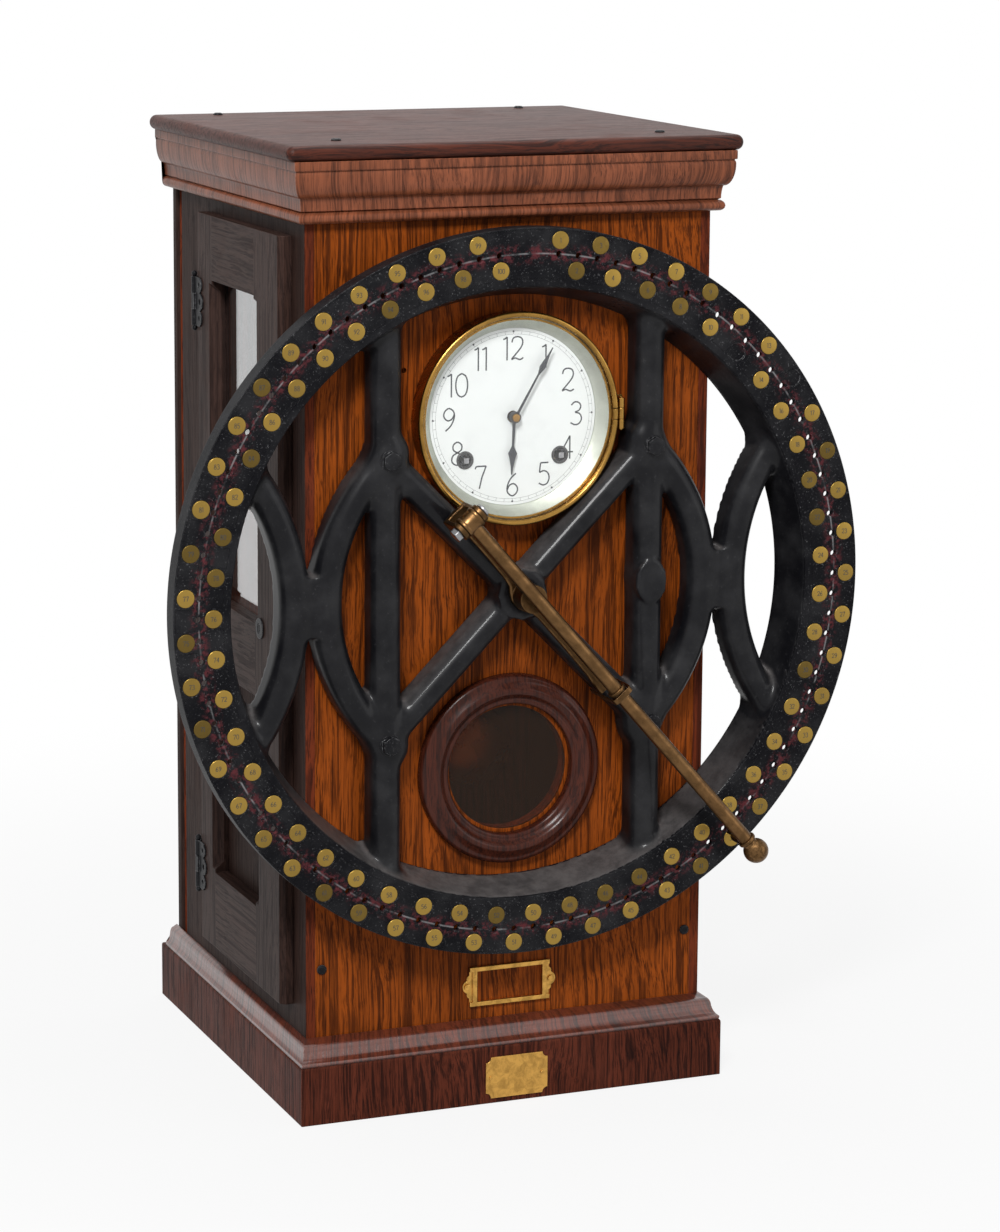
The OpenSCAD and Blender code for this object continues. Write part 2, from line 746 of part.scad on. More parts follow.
// Cast spider: two upright bars, crossed arms, a pair of arcs each side and the hub
module ring_spider() {
    reach = sqrt(pow(face_inner, 2) - pow(bar_x, 2));
    arm_start = hub_d * 0.31;
    color(iron) on_ring() difference() {
        union() {
            intersection() {
                union() {
                    for (s = [-1, 1]) bar([s * bar_x, -reach], [s * bar_x, reach], bar_w, bar_front);
                    for (x = [-1, 1]) for (y = [-1, 1])
                        bar(arm_start * [x, y], [x * bar_x, y * bolt_z], arm_w, bar_front - arm_drop);
                    for (turn = [0, 180]) rotate([0, 0, turn]) {
                        arc(inner_mid, inner_arc_r, -inner_arc_half, inner_arc_half);
                        arc(outer_mid, outer_arc_r, 180 - outer_arc_half, 180 + outer_arc_half);
                        translate([arc_meet - 9, -web_half, bar_back])
                            cube([18, 2 * web_half, bar_front - bar_back - 6]);
                    }
                }
                rotate_extrude($fn = 128) polygon([
                    [0, 0], [wall_inner, 0.5], [face_inner, ring_face], [0, ring_face]
                ]);
            }
            cylinder(h = hub_front, d = hub_d);
            translate([0, 0, hub_front - bead_h - 0.7]) for (k = [0:bead_count - 1])
                rotate([0, 0, 360 * k / bead_count]) translate([hub_d / 2 - 2, 0, 0])
                    cylinder(h = bead_h, d = bead_d);
            translate([bar_x, 0, bar_back]) cylinder(h = bar_front - bar_back + 2, d = boss_d);
            for (x = [-1, 1]) for (y = [-1, 1]) translate([x * bar_x, y * bolt_z, 0])
                cylinder(h = bar_back + 4, d = 24);
        }
        translate([0, 0, -eps]) cylinder(h = ring_face, d = bush_d);
        for (x = [-1, 1]) for (y = [-1, 1]) translate([x * bar_x, y * bolt_z, -eps])
            cylinder(h = ring_face, d = bolt_d + 0.6);
    }
}
bush_d = shaft_d + 8;

// Four bolts that hold the spider to the front board
module ring_bolts() {
    color(iron) on_ring() for (x = [-1, 1]) for (y = [-1, 1]) translate([x * bar_x, y * bolt_z, 0]) {
        translate([0, 0, bar_front]) cylinder(h = 2, d = bolt_head + 5);
        translate([0, 0, bar_front + 2]) cylinder(h = bolt_head_h - 2, d = bolt_head * 2 / sqrt(3), $fn = 6);
        translate([0, 0, -front_t]) cylinder(h = front_t + bar_front, d = bolt_d - 0.2);
        translate([0, 0, -front_t - 6]) cylinder(h = 6, d = 15 * 2 / sqrt(3), $fn = 6);
    }
}

// Bronze bush in the hub, in which the pointer's shaft turns
module shaft_bush() {
    color(brass) on_ring() translate([0, 0, -front_t]) difference() {
        cylinder(h = front_t + hub_front, d = bush_d);
        translate([0, 0, -eps]) cylinder(h = front_t + hub_front + 2 * eps, d = shaft_d + 2 * shaft_fit);
    }
}

// Places children on the pointer's line, with X along the pointer and Z out of the front
module on_pointer() {
    on_ring() rotate([0, 0, 90 - place_angle(pointer_place)]) children();
}

// Places children on the lever: X along its tube from the hinge, Z out of the front
module on_lever() {
    on_pointer() translate([-hinge_back, 0, hinge_out]) rotate([0, -lever_lean, 0]) children();
}

drum_back = drum_at + drum_len;
shaft_back = drum_back + 30;

// Hollow shaft that carries the pointer in front and the sheet drum behind
module pointer_shaft() {
    color(steel) on_ring() difference() {
        translate([0, 0, -shaft_back]) cylinder(h = shaft_back + bracket_hub_front - 2, d = shaft_d);
        translate([0, 0, -drum_back]) cylinder(h = drum_back + bracket_hub_front, d = rod_d + 0.2);
    }
}

// Bracket that turns with the shaft: bar, hub, hinge ears and the stirrup for the collar
module pointer_bracket() {
    bar_top = hub_front + 1 + bracket_t;
    collar_z = hinge_out + (hinge_back + collar_at) * tan(lever_lean);
    stirrup_top = collar_z + collar_d / 2 + 2 * air;
    stirrup_in = collar_d / 2 + 1;
    color(old_brass) on_pointer() difference() {
        union() {
            translate([0, 0, hub_front + 1])
                cylinder(h = bracket_hub_front - hub_front - 1, d = bracket_hub_d);
            span([-hinge_back, -bracket_w / 2, hub_front + 1], [collar_at + 8, bracket_w / 2, bar_top]);
            for (s = [-1, 1]) translate([-hinge_back, s * (barrel_w / 2 + air + 2.5), 0]) {
                rotate([90, 0, 0]) translate([0, 0, -2.5]) {
                    translate([0, hinge_out, 0]) cylinder(h = 5, d = barrel_d - 2);
                    translate([-6, hub_front + 1, 0]) cube([12, hinge_out - hub_front - 1, 5]);
                }
            }
            span([-hinge_back - 6, -barrel_w / 2 - 5, hub_front + 1],
                [-hinge_back + 6, barrel_w / 2 + 5, bar_top]);
            for (s = [-1, 1]) {
                y = s > 0 ? stirrup_in : -stirrup_in - stirrup_t;
                span([collar_at - 3, y, hub_front + 1],
                    [collar_at + 3, y + stirrup_t, stirrup_top + stirrup_t]);
            }
            span([collar_at - 3, -stirrup_in - stirrup_t, stirrup_top],
                [collar_at + 3, stirrup_in + stirrup_t, stirrup_top + stirrup_t]);
            span([collar_at - 3, -stirrup_in - stirrup_t, hub_front + 1],
                [collar_at + 8, stirrup_in + stirrup_t, bar_top]);
        }
        cylinder(h = bracket_hub_front - 2 + 0.01, d = shaft_d);
        translate([0, 0, hub_front]) cylinder(h = 60, d = rod_d + 0.2);
        translate([-hinge_back, 0, hinge_out]) rotate([90, 0, 0]) translate([0, 0, -30])
            cylinder(h = 60, d = hinge_pin_d);
    }
}

// Pin of the lever's hinge, with a domed head and a hexagon nut
module lever_hinge_pin() {
    half = barrel_w / 2 + air + 5;
    color(steel) on_pointer() translate([-hinge_back, 0, hinge_out]) rotate([90, 0, 0]) {
        translate([0, 0, -half - 2]) cylinder(h = 2 * half + 4, d = hinge_pin_d);
        translate([0, 0, half]) cylinder(h = 5, d = 12 * 2 / sqrt(3), $fn = 6);
        translate([0, 0, -half - 3]) cylinder(h = 3, d = 13);
    }
}

// Lever: the barrel at its hinge and the long tube
module lever_tube() {
    color(old_brass) on_lever() difference() {
        union() {
            rotate([90, 0, 0]) translate([0, 0, -barrel_w / 2]) cylinder(h = barrel_w, d = barrel_d);
            rotate([0, 90, 0]) cylinder(h = lever_len - knob_d / 2, d = tube_d);
        }
        rotate([90, 0, 0]) translate([0, 0, -barrel_w]) cylinder(h = 2 * barrel_w, d = hinge_pin_d + 0.1);
    }
}

module lever_collar() {
    at = (hinge_back + collar_at) / cos(lever_lean);
    color(old_brass) on_lever() translate([at - collar_len / 2, 0, 0]) rotate([0, 90, 0]) difference() {
        cylinder(h = collar_len, d = collar_d);
        translate([0, 0, -eps]) cylinder(h = collar_len + 2 * eps, d = tube_d);
    }
}

// Ball knob with a ringed neck
module lever_knob() {
    color(old_brass) on_lever() translate([lever_len, 0, 0]) {
        difference() {
            union() {
                sphere(d = knob_d);
                rotate([0, -90, 0]) cylinder(h = knob_d / 2 + 4, d = tube_d + 1);
                rotate([0, -90, 0]) translate([0, 0, knob_d / 2 - 1]) cylinder(h = 3, d = tube_d + 4);
            }
            rotate([0, -90, 0]) translate([0, 0, knob_d / 2]) cylinder(h = 30, d = tube_d);
        }
    }
}

// Distance of the pin from the middle, set so that it is centred in the hole when pressed
punch_at = (hole_r + hinge_back) * cos(lever_travel)
    + (hinge_out - ring_face + face_t / 2) * sin(lever_travel) - hinge_back;

// Pin under the tube that enters the ring's hole when the lever is pressed
module punch_pin() {
    base = hinge_out + (hinge_back + punch_at) * tan(lever_lean);
    tip = ring_face + punch_clear;
    cone = 4;
    shoulder = tip + punch_len + cone;
    color(old_brass) on_pointer() difference() {
        union() {
            translate([punch_at, 0, shoulder]) cylinder(h = base - shoulder, d = punch_sleeve_d);
            translate([punch_at, 0, shoulder - cone])
                cylinder(h = cone, d1 = punch_d + 2, d2 = punch_sleeve_d, $fn = 48);
            translate([punch_at, 0, tip]) cylinder(h = 25, d = punch_d);
        }
        translate([-hinge_back, 0, hinge_out]) rotate([0, -lever_lean, 0]) rotate([0, 90, 0]) {
            cylinder(h = lever_len, d = tube_d);
            translate([0, 0, lever_len]) sphere(d = knob_d);
            translate([0, 0, lever_len - knob_d / 2 - 4]) cylinder(h = knob_d / 2 + 4, d = tube_d + 4);
        }
    }
}

// Rod inside the hollow shaft, which the lever pushes back
module push_rod() {
    front = hinge_out + hinge_back * tan(lever_lean) - tube_d / 2 / cos(lever_lean) - air;
    color(steel) on_ring() {
        translate([0, 0, -drum_back + 8]) cylinder(h = front - 2 + drum_back - 8, d = rod_d);
        translate([0, 0, front - 2]) cylinder(h = 2, d1 = rod_d, d2 = rod_d - 3, $fn = 48);
    }
}

// Drum that carries the time sheet: hub, spoked ends and a thin shell
module sheet_drum() {
    color(steel) on_ring() translate([0, 0, -drum_back]) difference() {
        union() {
            difference() {
                cylinder(h = drum_len, d = drum_d, $fn = 96);
                translate([0, 0, -eps]) cylinder(h = drum_len + 2 * eps, d = drum_d - 8, $fn = 96);
            }
            cylinder(h = drum_len, d = shaft_d + 14);
            for (z = [4, drum_len - 10]) translate([0, 0, z]) for (a = [0:60:300])
                rotate([0, 0, a]) translate([0, -6, 0]) cube([drum_d / 2 - 2, 12, 6]);
        }
        translate([0, 0, -eps]) cylinder(h = drum_len + 2 * eps, d = shaft_d);
    }
}

// Standard behind the drum, with the bearing for the end of the shaft
module rear_bearing() {
    foot_z = plinth_h + bottom_t;
    foot_half = 60;
    post_half = 14;
    post_t = 12;
    y0 = front_y + drum_back + 12;
    color(iron) difference() {
        union() {
            span([-post_half, y0, foot_z], [post_half, y0 + post_t, ring_z]);
            span([-foot_half, y0 - 4, foot_z], [foot_half, y0 + foot_half / 2, foot_z + 8]);
            translate([0, y0 + post_t, ring_z]) rotate([90, 0, 0]) cylinder(h = post_t, d = 40);
        }
        translate([0, y0 + post_t + 1, ring_z]) rotate([90, 0, 0])
            cylinder(h = post_t + 2, d = shaft_d + 2 * shaft_fit);
    }
}

// Radii of the fixed bezel, of its flange and of the hinged sash
bezel_out = bezel_d / 2;
bezel_in = bezel_out - bezel_w;
flange_in = bezel_out - 10.6;
sash_out = bezel_out - 11;
sash_in = sash_out - 2.3;
flange_top = bezel_front - 9;
sash_top = bezel_front - 5;
dial_hole_d = bezel_d - 24;
strap_half = 5;
bezel_hinge_x = bezel_out + 3.4;
bezel_hinge_out = bezel_front - 4;

// Section of the bezel: a round bead on a thin foot
module bezel_section() {
    translate([bezel_out - bezel_w / 2, bezel_front - bezel_w / 2]) circle(d = bezel_w);
    translate([bezel_out - 6, 0]) square([4, bezel_front - bezel_w / 2]);
}

// Brass bezel fixed to the front board, with a notch for the sash's strap
module dial_bezel() {
    notch = strap_half + 0.4;
    color(brass) on_front(0, dial_z) difference() {
        rotate_extrude($fn = 96) union() {
            bezel_section();
            translate([flange_in, 0]) square([bezel_out - 3 - flange_in, flange_top]);
        }
        translate([flange_in - 3, -notch, -eps]) cube([20, 2 * notch, bezel_front + 2 * eps]);
    }
}

// Hinged sash: a thin ring with a strap, shaped like the bezel, to its knuckle
module sash_ring() {
    color(brass) on_front(0, dial_z) difference() {
        union() {
            rotate_extrude($fn = 96) translate([sash_in, flange_top + air])
                square([sash_out - sash_in, sash_top - flange_top - air]);
            intersection() {
                rotate_extrude($fn = 96) union() {
                    bezel_section();
                    translate([sash_out - 2, flange_top + air]) square([9, sash_top - flange_top - air]);
                }
                translate([sash_in + 2, -strap_half, flange_top + air])
                    cube([bezel_out - sash_in, 2 * strap_half, 20]);
            }
            translate([bezel_hinge_x, -strap_half, bezel_hinge_out]) rotate([-90, 0, 0])
                cylinder(h = 2 * strap_half, d = 6);
            translate([bezel_out - 3, -strap_half, bezel_hinge_out - 2]) cube([5, 2 * strap_half, 4]);
        }
        translate([bezel_hinge_x, -20, bezel_hinge_out]) rotate([-90, 0, 0]) cylinder(h = 40, d = 2.6);
    }
}

// Fixed knuckles and their foot on the front board
module bezel_hinge_leaf() {
    outer = 14;
    color(brass) on_front(0, dial_z) difference() {
        for (s = [-1, 1]) {
            low = s > 0 ? strap_half + air : -outer;
            high = s > 0 ? outer : -strap_half - air;
            translate([bezel_hinge_x, low, bezel_hinge_out]) rotate([-90, 0, 0])
                cylinder(h = high - low, d = 6);
            span([bezel_hinge_x - 1, low, 0], [bezel_hinge_x + 3, high, bezel_hinge_out]);
            span([bezel_hinge_x - 1, -outer, 0], [bezel_hinge_x + 9, outer, 1.6]);
        }
        translate([bezel_hinge_x, -20, bezel_hinge_out]) rotate([-90, 0, 0]) cylinder(h = 40, d = 2.6);
    }
}

module bezel_hinge_pin() {
    color(brass) on_front(0, dial_z) translate([bezel_hinge_x, -15, bezel_hinge_out])
        rotate([-90, 0, 0]) cylinder(h = 30, d = 2.5);
}

// Glass inside the sash ring
module dial_glass() {
    color(clear) on_front(0, dial_z) translate([0, 0, sash_top - 1 - glass_t])
        cylinder(h = glass_t, r = sash_in, $fn = 96);
}

// Silvered ring in the sash that slopes down towards the dial
module dial_reflector() {
    top = sash_top - 1 - glass_t;
    foot = dial_d / 2;
    color(silver) on_front(0, dial_z) rotate_extrude($fn = 96) polygon([
        [sash_out, flange_top + air], [sash_in, flange_top + air], [sash_in, top], [sash_in - 0.8, top],
        [foot, dial_face + air], [foot + 1.2, dial_face + air], [sash_out - 0.6, flange_top - 1.5],
        [sash_out, flange_top - 0.5]
    ]);
}

// White dial with holes for the hands and the two winding squares
module dial_plate() {
    color(white) on_front(0, dial_z) difference() {
        union() {
            translate([0, 0, dial_face - dial_t]) cylinder(h = dial_t, r = dial_seat_r, $fn = 96);
            difference() {
                translate([0, 0, -plate_at])
                    cylinder(h = plate_at + dial_face - dial_t, d = dial_hole_d - 1, $fn = 96);
                translate([0, 0, -plate_at - eps])
                    cylinder(h = plate_at + dial_face, d = dial_hole_d - 5, $fn = 96);
            }
        }
        translate([0, 0, -eps]) cylinder(h = 20, d = 11);
        for (s = [-1, 1]) translate([s * wind_x, -wind_z, -eps]) cylinder(h = 20, d = wind_d + 4);
    }
}
dial_seat_r = dial_hole_d / 2 + 0.8;

// Angle of the hands, clockwise from the top
minute_angle = 6 * show_minute;
hour_angle = 30 * show_hour + show_minute / 2;

// Spade hand in its own plane, pointing up: length, width of the spade, tail
module spade_hand(length, spade, tail, hub) {
    half = [[2, -tail], [1.4, 0], [1.5, hub / 2], [0.9, length * 0.60], [spade * 0.38, length * 0.63],
        [spade * 0.5, length * 0.68], [spade * 0.46, length * 0.73], [0.7, length * 0.88], [0.3, length]];
    last = len(half) - 1;
    union() {
        circle(d = hub);
        polygon(concat(half, [for (i = [last:-1:0]) [-half[i][0], half[i][1]]]));
    }
}

minute_plane = dial_face + 6;
hour_plane = dial_face + 3;

module minute_hand() {
    color("black") on_front(0, dial_z) rotate([0, 0, -minute_angle]) translate([0, 0, minute_plane])
        linear_extrude(1) difference() {
            spade_hand(71, 5.5, 13, 9);
            circle(d = 4);
        }
}

module hour_hand() {
    color("black") on_front(0, dial_z) rotate([0, 0, -hour_angle]) difference() {
        union() {
            translate([0, 0, hour_plane]) linear_extrude(1) spade_hand(52, 9, 0.1, 10);
            translate([0, 0, -plate_at + 5]) cylinder(h = plate_at + hour_plane - 5, d = 9);
        }
        translate([0, 0, -plate_at]) cylinder(h = 60, d = 6.2);
    }
}

// Arbor of the minute hand, with its cannon, nut and wheel between the plates
module center_arbor() {
    color(brass) on_front(0, dial_z) {
        translate([0, 0, -plate_at - plate_gap - plate_t - 4]) cylinder(h = plate_gap + plate_t + 4, d = 4);
        translate([0, 0, -plate_at - plate_t]) cylinder(h = plate_at + minute_plane + plate_t, d = 6);
        translate([0, 0, minute_plane - 1]) cylinder(h = 4, d = 4);
        translate([0, 0, minute_plane + 1]) cylinder(h = 1.6, d = 7);
        translate([0, 0, -plate_at - plate_gap + 8]) difference() {
            cylinder(h = 2.5, d = 52);
            for (a = [0:90:270]) rotate([0, 0, a + 45]) translate([14, 0, -eps]) cylinder(h = 4, d = 14);
        }
    }
}

// Front and back plate of the movement
module movement_plates() {
    color(brass) on_front(0, dial_z) for (z = [-plate_at, -plate_at - plate_gap]) difference() {
        translate([-plate_w / 2, -plate_h / 2, z - plate_t]) cube([plate_w, plate_h, plate_t]);
        translate([0, 0, z - plate_t - eps]) cylinder(h = plate_t + 2 * eps, d = z == -plate_at ? 6.2 : 4.1);
        for (s = [-1, 1]) translate([s * wind_x, -wind_z, z - plate_t - eps])
            cylinder(h = plate_t + 2 * eps, d = wind_d + 0.1);
    }
}

module movement_pillars() {
    color(brass) on_front(0, dial_z) for (x = [-1, 1]) for (y = [-1, 1])
        translate([x * (y > 0 ? plate_w / 2 - 8 : 15), y * (plate_h / 2 - 8), -plate_at - plate_gap])
            cylinder(h = plate_gap - plate_t, d = 8);
}

// Shelf that carries the movement
module movement_shelf() {
    z = dial_z - plate_h / 2;
    shelf_t = 14;
    color(dark_wood) span([-inner_x, front_y + plate_at, z - shelf_t],
        [inner_x, front_y + plate_at + plate_gap + plate_t + 4, z]);
}

// Winding arbor with its square, s is -1 for the left and 1 for the right
module winding_arbor(s) {
    on_front(s * wind_x, dial_z - wind_z) {
        translate([0, 0, -plate_at - plate_gap - plate_t]) cylinder(h = plate_gap + plate_t + 16, d = wind_d);
        translate([-2.5, -2.5, -plate_at + 13]) cube([5, 5, plate_at - 13 + dial_face + 4]);
    }
}

module winding_arbor_left() {
    color(steel) winding_arbor(-1);
}

module winding_arbor_right() {
    color(steel) winding_arbor(1);
}

// Drum of a mainspring with its toothed rim, fixed on the winding arbor
barrel_rim_d = 41;
module spring_barrel(s) {
    teeth = 60;
    on_front(s * wind_x, dial_z - wind_z) translate([0, 0, -plate_at - plate_gap + 10]) difference() {
        union() {
            cylinder(h = 24, d = barrel_rim_d - 3);
            cylinder(h = 3, d = barrel_rim_d);
            for (a = [0:360 / teeth:359]) rotate([0, 0, a]) translate([barrel_rim_d / 2 - 1, -0.6, 0])
                cube([2.5, 1.2, 3]);
        }
        translate([0, 0, -eps]) cylinder(h = 25, d = wind_d);
    }
}

module spring_barrel_left() {
    color(brass) spring_barrel(-1);
}

module spring_barrel_right() {
    color(brass) spring_barrel(1);
}

// Pendulum: spring, rod with a loop round the pointer's shaft, and a lenticular bob
pendulum_z = dial_z + plate_h / 2 - 6;
loop_r = 24;
module pendulum() {
    drop = pendulum_z - window_z;
    at_shaft = pendulum_z - ring_z;
    color(brass) on_front(0, pendulum_z) translate([0, 0, -pendulum_at]) difference() {
        union() {
            translate([0, 0, -2]) cylinder(h = 4, d = 10);
            translate([-1.5, -at_shaft + loop_r, -1.5]) cube([3, at_shaft - loop_r, 3]);
            translate([-1.5, -drop, -1.5]) cube([3, drop - at_shaft - loop_r, 3]);
            translate([0, -at_shaft, -1.5]) difference() {
                cylinder(h = 3, r = loop_r + 2);
                translate([0, 0, -eps]) cylinder(h = 4, r = loop_r - 1.5);
            }
            translate([0, -drop, 0]) intersection() {
                translate([0, 0, 110]) sphere(r = 118, $fn = 96);
                translate([0, 0, -110]) sphere(r = 118, $fn = 96);
                translate([0, 0, -10]) cylinder(h = 20, d = bob_d);
            }
        }
        translate([0, 0, -4]) cylinder(h = 8, d = 4.1);
    }
}

// Cock on the back plate with the stud that the pendulum hangs from
module pendulum_cock() {
    color(brass) on_front(0, pendulum_z) {
        translate([0, 0, -pendulum_at - 4])
            cylinder(h = pendulum_at + 4 - plate_at - plate_gap - plate_t, d = 4);
        translate([-10, -5, -plate_at - plate_gap - plate_t - 6]) cube([20, 11, 6]);
    }
}

// Turned wooden bezel of the pendulum window
module window_bezel() {
    r0 = window_open / 2;
    r1 = window_d / 2;
    color(dark_wood) on_front(0, window_z) rotate_extrude($fn = 96) difference() {
        union() {
            translate([r0, 0]) square([r1 - r0, 5]);
            translate([r1 - 6, 5]) circle(5);
            translate([r0 + 8, 5]) square([r1 - r0 - 14, window_t - 9]);
            translate([r0 + 12, window_t - 5]) circle(5);
            translate([r0 + 3, 5]) circle(3);
        }
        translate([r0 - 1, -10]) square([r1, 10]);
        translate([r0 - 5, -1]) square([5, 30]);
    }
}

module window_glass() {
    color(clear) on_front(0, window_z) translate([0, 0, -4]) cylinder(h = 3, d = window_open - 6.4, $fn = 96);
}

// Brass frame for a paper label, with a scalloped ear at each end
module label_holder() {
    color(brass) on_front(label_x, label_z) difference() {
        union() {
            translate([-label_w / 2, -label_h / 2, 0]) cube([label_w, label_h, 1]);
            for (s = [-1, 1]) translate([s * label_w / 2, 0, 0]) cylinder(h = 1, d = 13);
            for (s = [-1, 1]) for (y = [-1, 1]) translate([s * (label_w / 2 - 1), y * 7.5, 0])
                cylinder(h = 1, d = 7);
            for (y = [-1, 1]) translate([-label_w / 2, y * (label_h / 2 - 2) - 2, 0]) cube([label_w, 4, 3]);
            for (s = [-1, 1]) translate([s * (label_w / 2 - 5) - 2, -label_h / 2, 0]) cube([4, label_h, 3]);
        }
        translate([-label_w / 2 + 7, -label_h / 2 + 4, -eps]) cube([label_w - 14, label_h - 8, 10]);
        for (s = [-1, 1]) translate([s * (label_w / 2 + 2), 0, -eps]) cylinder(h = 3, d = 3);
    }
}

module label_screws() {
    color(brass) for (s = [-1, 1]) on_front(label_x + s * (label_w / 2 + 2), label_z) {
        translate([0, 0, -6]) cylinder(h = 7, d = 3);
        translate([0, 0, 1]) cylinder(h = 1.6, d = small_screw_d);
    }
}

// Bare brass plate with hollow corners on the plinth
module name_plate() {
    color(brass) translate([1, -plinth_d / 2, plinth_h / 2 - 2.5]) rotate([90, 0, 0]) linear_extrude(1) difference() {
        translate([-nameplate_w / 2, -nameplate_h / 2]) square([nameplate_w, nameplate_h]);
        for (x = [-1, 1]) for (y = [-1, 1]) translate([x * nameplate_w / 2, y * nameplate_h / 2]) circle(5);
        for (x = [-1, 1]) translate([x * pin_x, 0]) circle(d = 2);
    }
}
pin_x = nameplate_w / 2 - 5;

module name_plate_pins() {
    color(brass) for (s = [-1, 1]) translate([1 + s * pin_x, -plinth_d / 2, plinth_h / 2 - 2.5]) rotate([90, 0, 0]) {
        translate([0, 0, -4]) cylinder(h = 5, d = 2);
        translate([0, 0, 1]) cylinder(h = 0.8, d = 3.6);
    }
}

plinth();
base_moulding();
bottom_board();
side_frame_left();
side_board_right();
front_board();
back_board();
crown_moulding();
top_board();
top_screws();
front_screws();
side_door_frame();
side_door_glass();
side_door_panel();
door_hinge_case_leaves();
door_hinge_door_leaves();
door_hinge_pins();
door_lock_ring();
door_lock_plug();
number_ring();
ring_wall();
ring_spider();
number_discs();
ring_bolts();
shaft_bush();
pointer_shaft();
pointer_bracket();
lever_hinge_pin();
lever_tube();
lever_collar();
lever_knob();
punch_pin();
push_rod();
sheet_drum();
rear_bearing();
dial_bezel();
sash_ring();
dial_glass();
dial_reflector();
bezel_hinge_leaf();
bezel_hinge_pin();
dial_plate();
minute_hand();
hour_hand();
center_arbor();
movement_plates();
movement_pillars();
movement_shelf();
winding_arbor_left();
winding_arbor_right();
spring_barrel_left();
spring_barrel_right();
pendulum();
pendulum_cock();
window_bezel();
window_glass();
label_holder();
label_screws();
name_plate();
name_plate_pins();
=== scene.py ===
# Looks of a floor-standing time clock with a numbered ring, laid over its solids.
# Shapes are worked out in millimetres in the frame of the solids and put into meshes in metres.
import math

import bpy
import numpy as np
from mathutils import Matrix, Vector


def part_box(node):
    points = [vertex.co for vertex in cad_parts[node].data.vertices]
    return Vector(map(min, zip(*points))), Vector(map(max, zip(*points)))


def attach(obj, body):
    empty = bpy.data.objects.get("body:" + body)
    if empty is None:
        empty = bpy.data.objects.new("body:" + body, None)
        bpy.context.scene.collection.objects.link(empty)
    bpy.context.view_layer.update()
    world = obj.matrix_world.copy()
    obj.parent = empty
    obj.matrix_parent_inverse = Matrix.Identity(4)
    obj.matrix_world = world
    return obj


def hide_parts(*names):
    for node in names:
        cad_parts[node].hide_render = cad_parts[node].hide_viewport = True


bl_info = {
    "name": "Time clock with a numbered ring",
    "version": (1, 0, 0),
    "blender": (4, 5, 0),
    "location": "View3D > Sidebar > Time clock",
    "description": "Makes the visible surfaces of a time clock over its solids",
    "category": "Object",
}

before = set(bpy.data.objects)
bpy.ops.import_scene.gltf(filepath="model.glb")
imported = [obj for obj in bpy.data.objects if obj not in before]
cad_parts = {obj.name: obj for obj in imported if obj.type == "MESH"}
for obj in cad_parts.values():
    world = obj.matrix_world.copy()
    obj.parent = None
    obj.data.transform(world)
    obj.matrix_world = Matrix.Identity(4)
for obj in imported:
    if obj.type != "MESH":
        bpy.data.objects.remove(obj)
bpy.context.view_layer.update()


def box_mm(node):
    """Lowest and highest corner of a solid, in millimetres."""
    low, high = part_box(node)
    return np.array(low) * 1000, np.array(high) * 1000


FRONT_Y = float(box_mm("front_board")[0][1])
RING_LOW, RING_HIGH = box_mm("number_ring")
RING_Z = float(RING_LOW[2] + RING_HIGH[2]) / 2
RING_R = float(RING_HIGH[2] - RING_LOW[2]) / 2
PLACES = 102  # of the ring: 100 numbers and two blank places at the top
LOWEST = 50.5  # between the two places at the bottom
REST = 39  # the place where the pointer stands
LOST = (12, 15)  # numbers whose discs are missing
BOLT_X, BOLT_Z = 127, 128  # where the bars and the crossed arms of the casting meet
HINGE = (-99, 66)  # the lever's hinge, along the pointer and out of the front
LEAN = math.radians(4)  # of the lifted lever


def tint(red, green, blue):
    """Colour as a screen shows it, 0 to 255, turned into linear light."""
    share = np.array([red, green, blue]) / 255
    light = np.where(share <= 0.04045, share / 12.92, ((share + 0.055) / 1.055) ** 2.4)
    return (*[float(v) for v in light], 1.0)


def length(name, about, value):
    """A size of the panel: given in millimetres, kept in metres."""
    return bpy.props.FloatProperty(
        name=name, description=about, default=value / 1000, min=0, unit="LENGTH", precision=4)


def colour(name, about, *screen):
    """A colour of the panel, given as a screen shows it."""
    return bpy.props.FloatVectorProperty(
        name=name, description=about, default=tint(*screen), size=4, min=0, max=1, subtype="COLOR")


class ClockSizes(bpy.types.PropertyGroup):
    """Sizes of the visible pieces"""
    face_out: length("Ring face", "Distance of the ring's face from the front board", FRONT_Y - float(RING_LOW[1]))
    face_inner: length("Ring opening", "Radius of the inner edge of the ring's face", 278)
    wall_inner: length("Wall foot", "Radius of the inner wall at the front board", 266.5)
    hole_radius: length("Hole circle", "Radius of the circle of the holes", 307)
    hole_width: length("Hole", "Diameter of a hole", 5.6)
    odd_radius: length("Odd numbers", "Radius of the circle of the odd numbers", 319.3)
    even_radius: length("Even numbers", "Radius of the circle of the even numbers", 293.6)
    disc_width: length("Disc", "Diameter of a number disc", 16.2)
    digit_height: length("Disc digits", "Height of the digits on a disc", 4.2)
    bar_width: length("Bar", "Width of a bar of the ring's casting", 28)
    bar_crown: length("Bar crown", "Distance of a bar's crown from the front board", 33)
    fillet: length("Fillet", "Softness of the corners where bars of the casting meet", 9)
    dial_z: length("Dial height", "Height of the middle of the dial", 633)
    window_z: length("Window height", "Height of the middle of the round window", 309)
    numeral_height: length("Numerals", "Height of the numerals on the dial", 21)


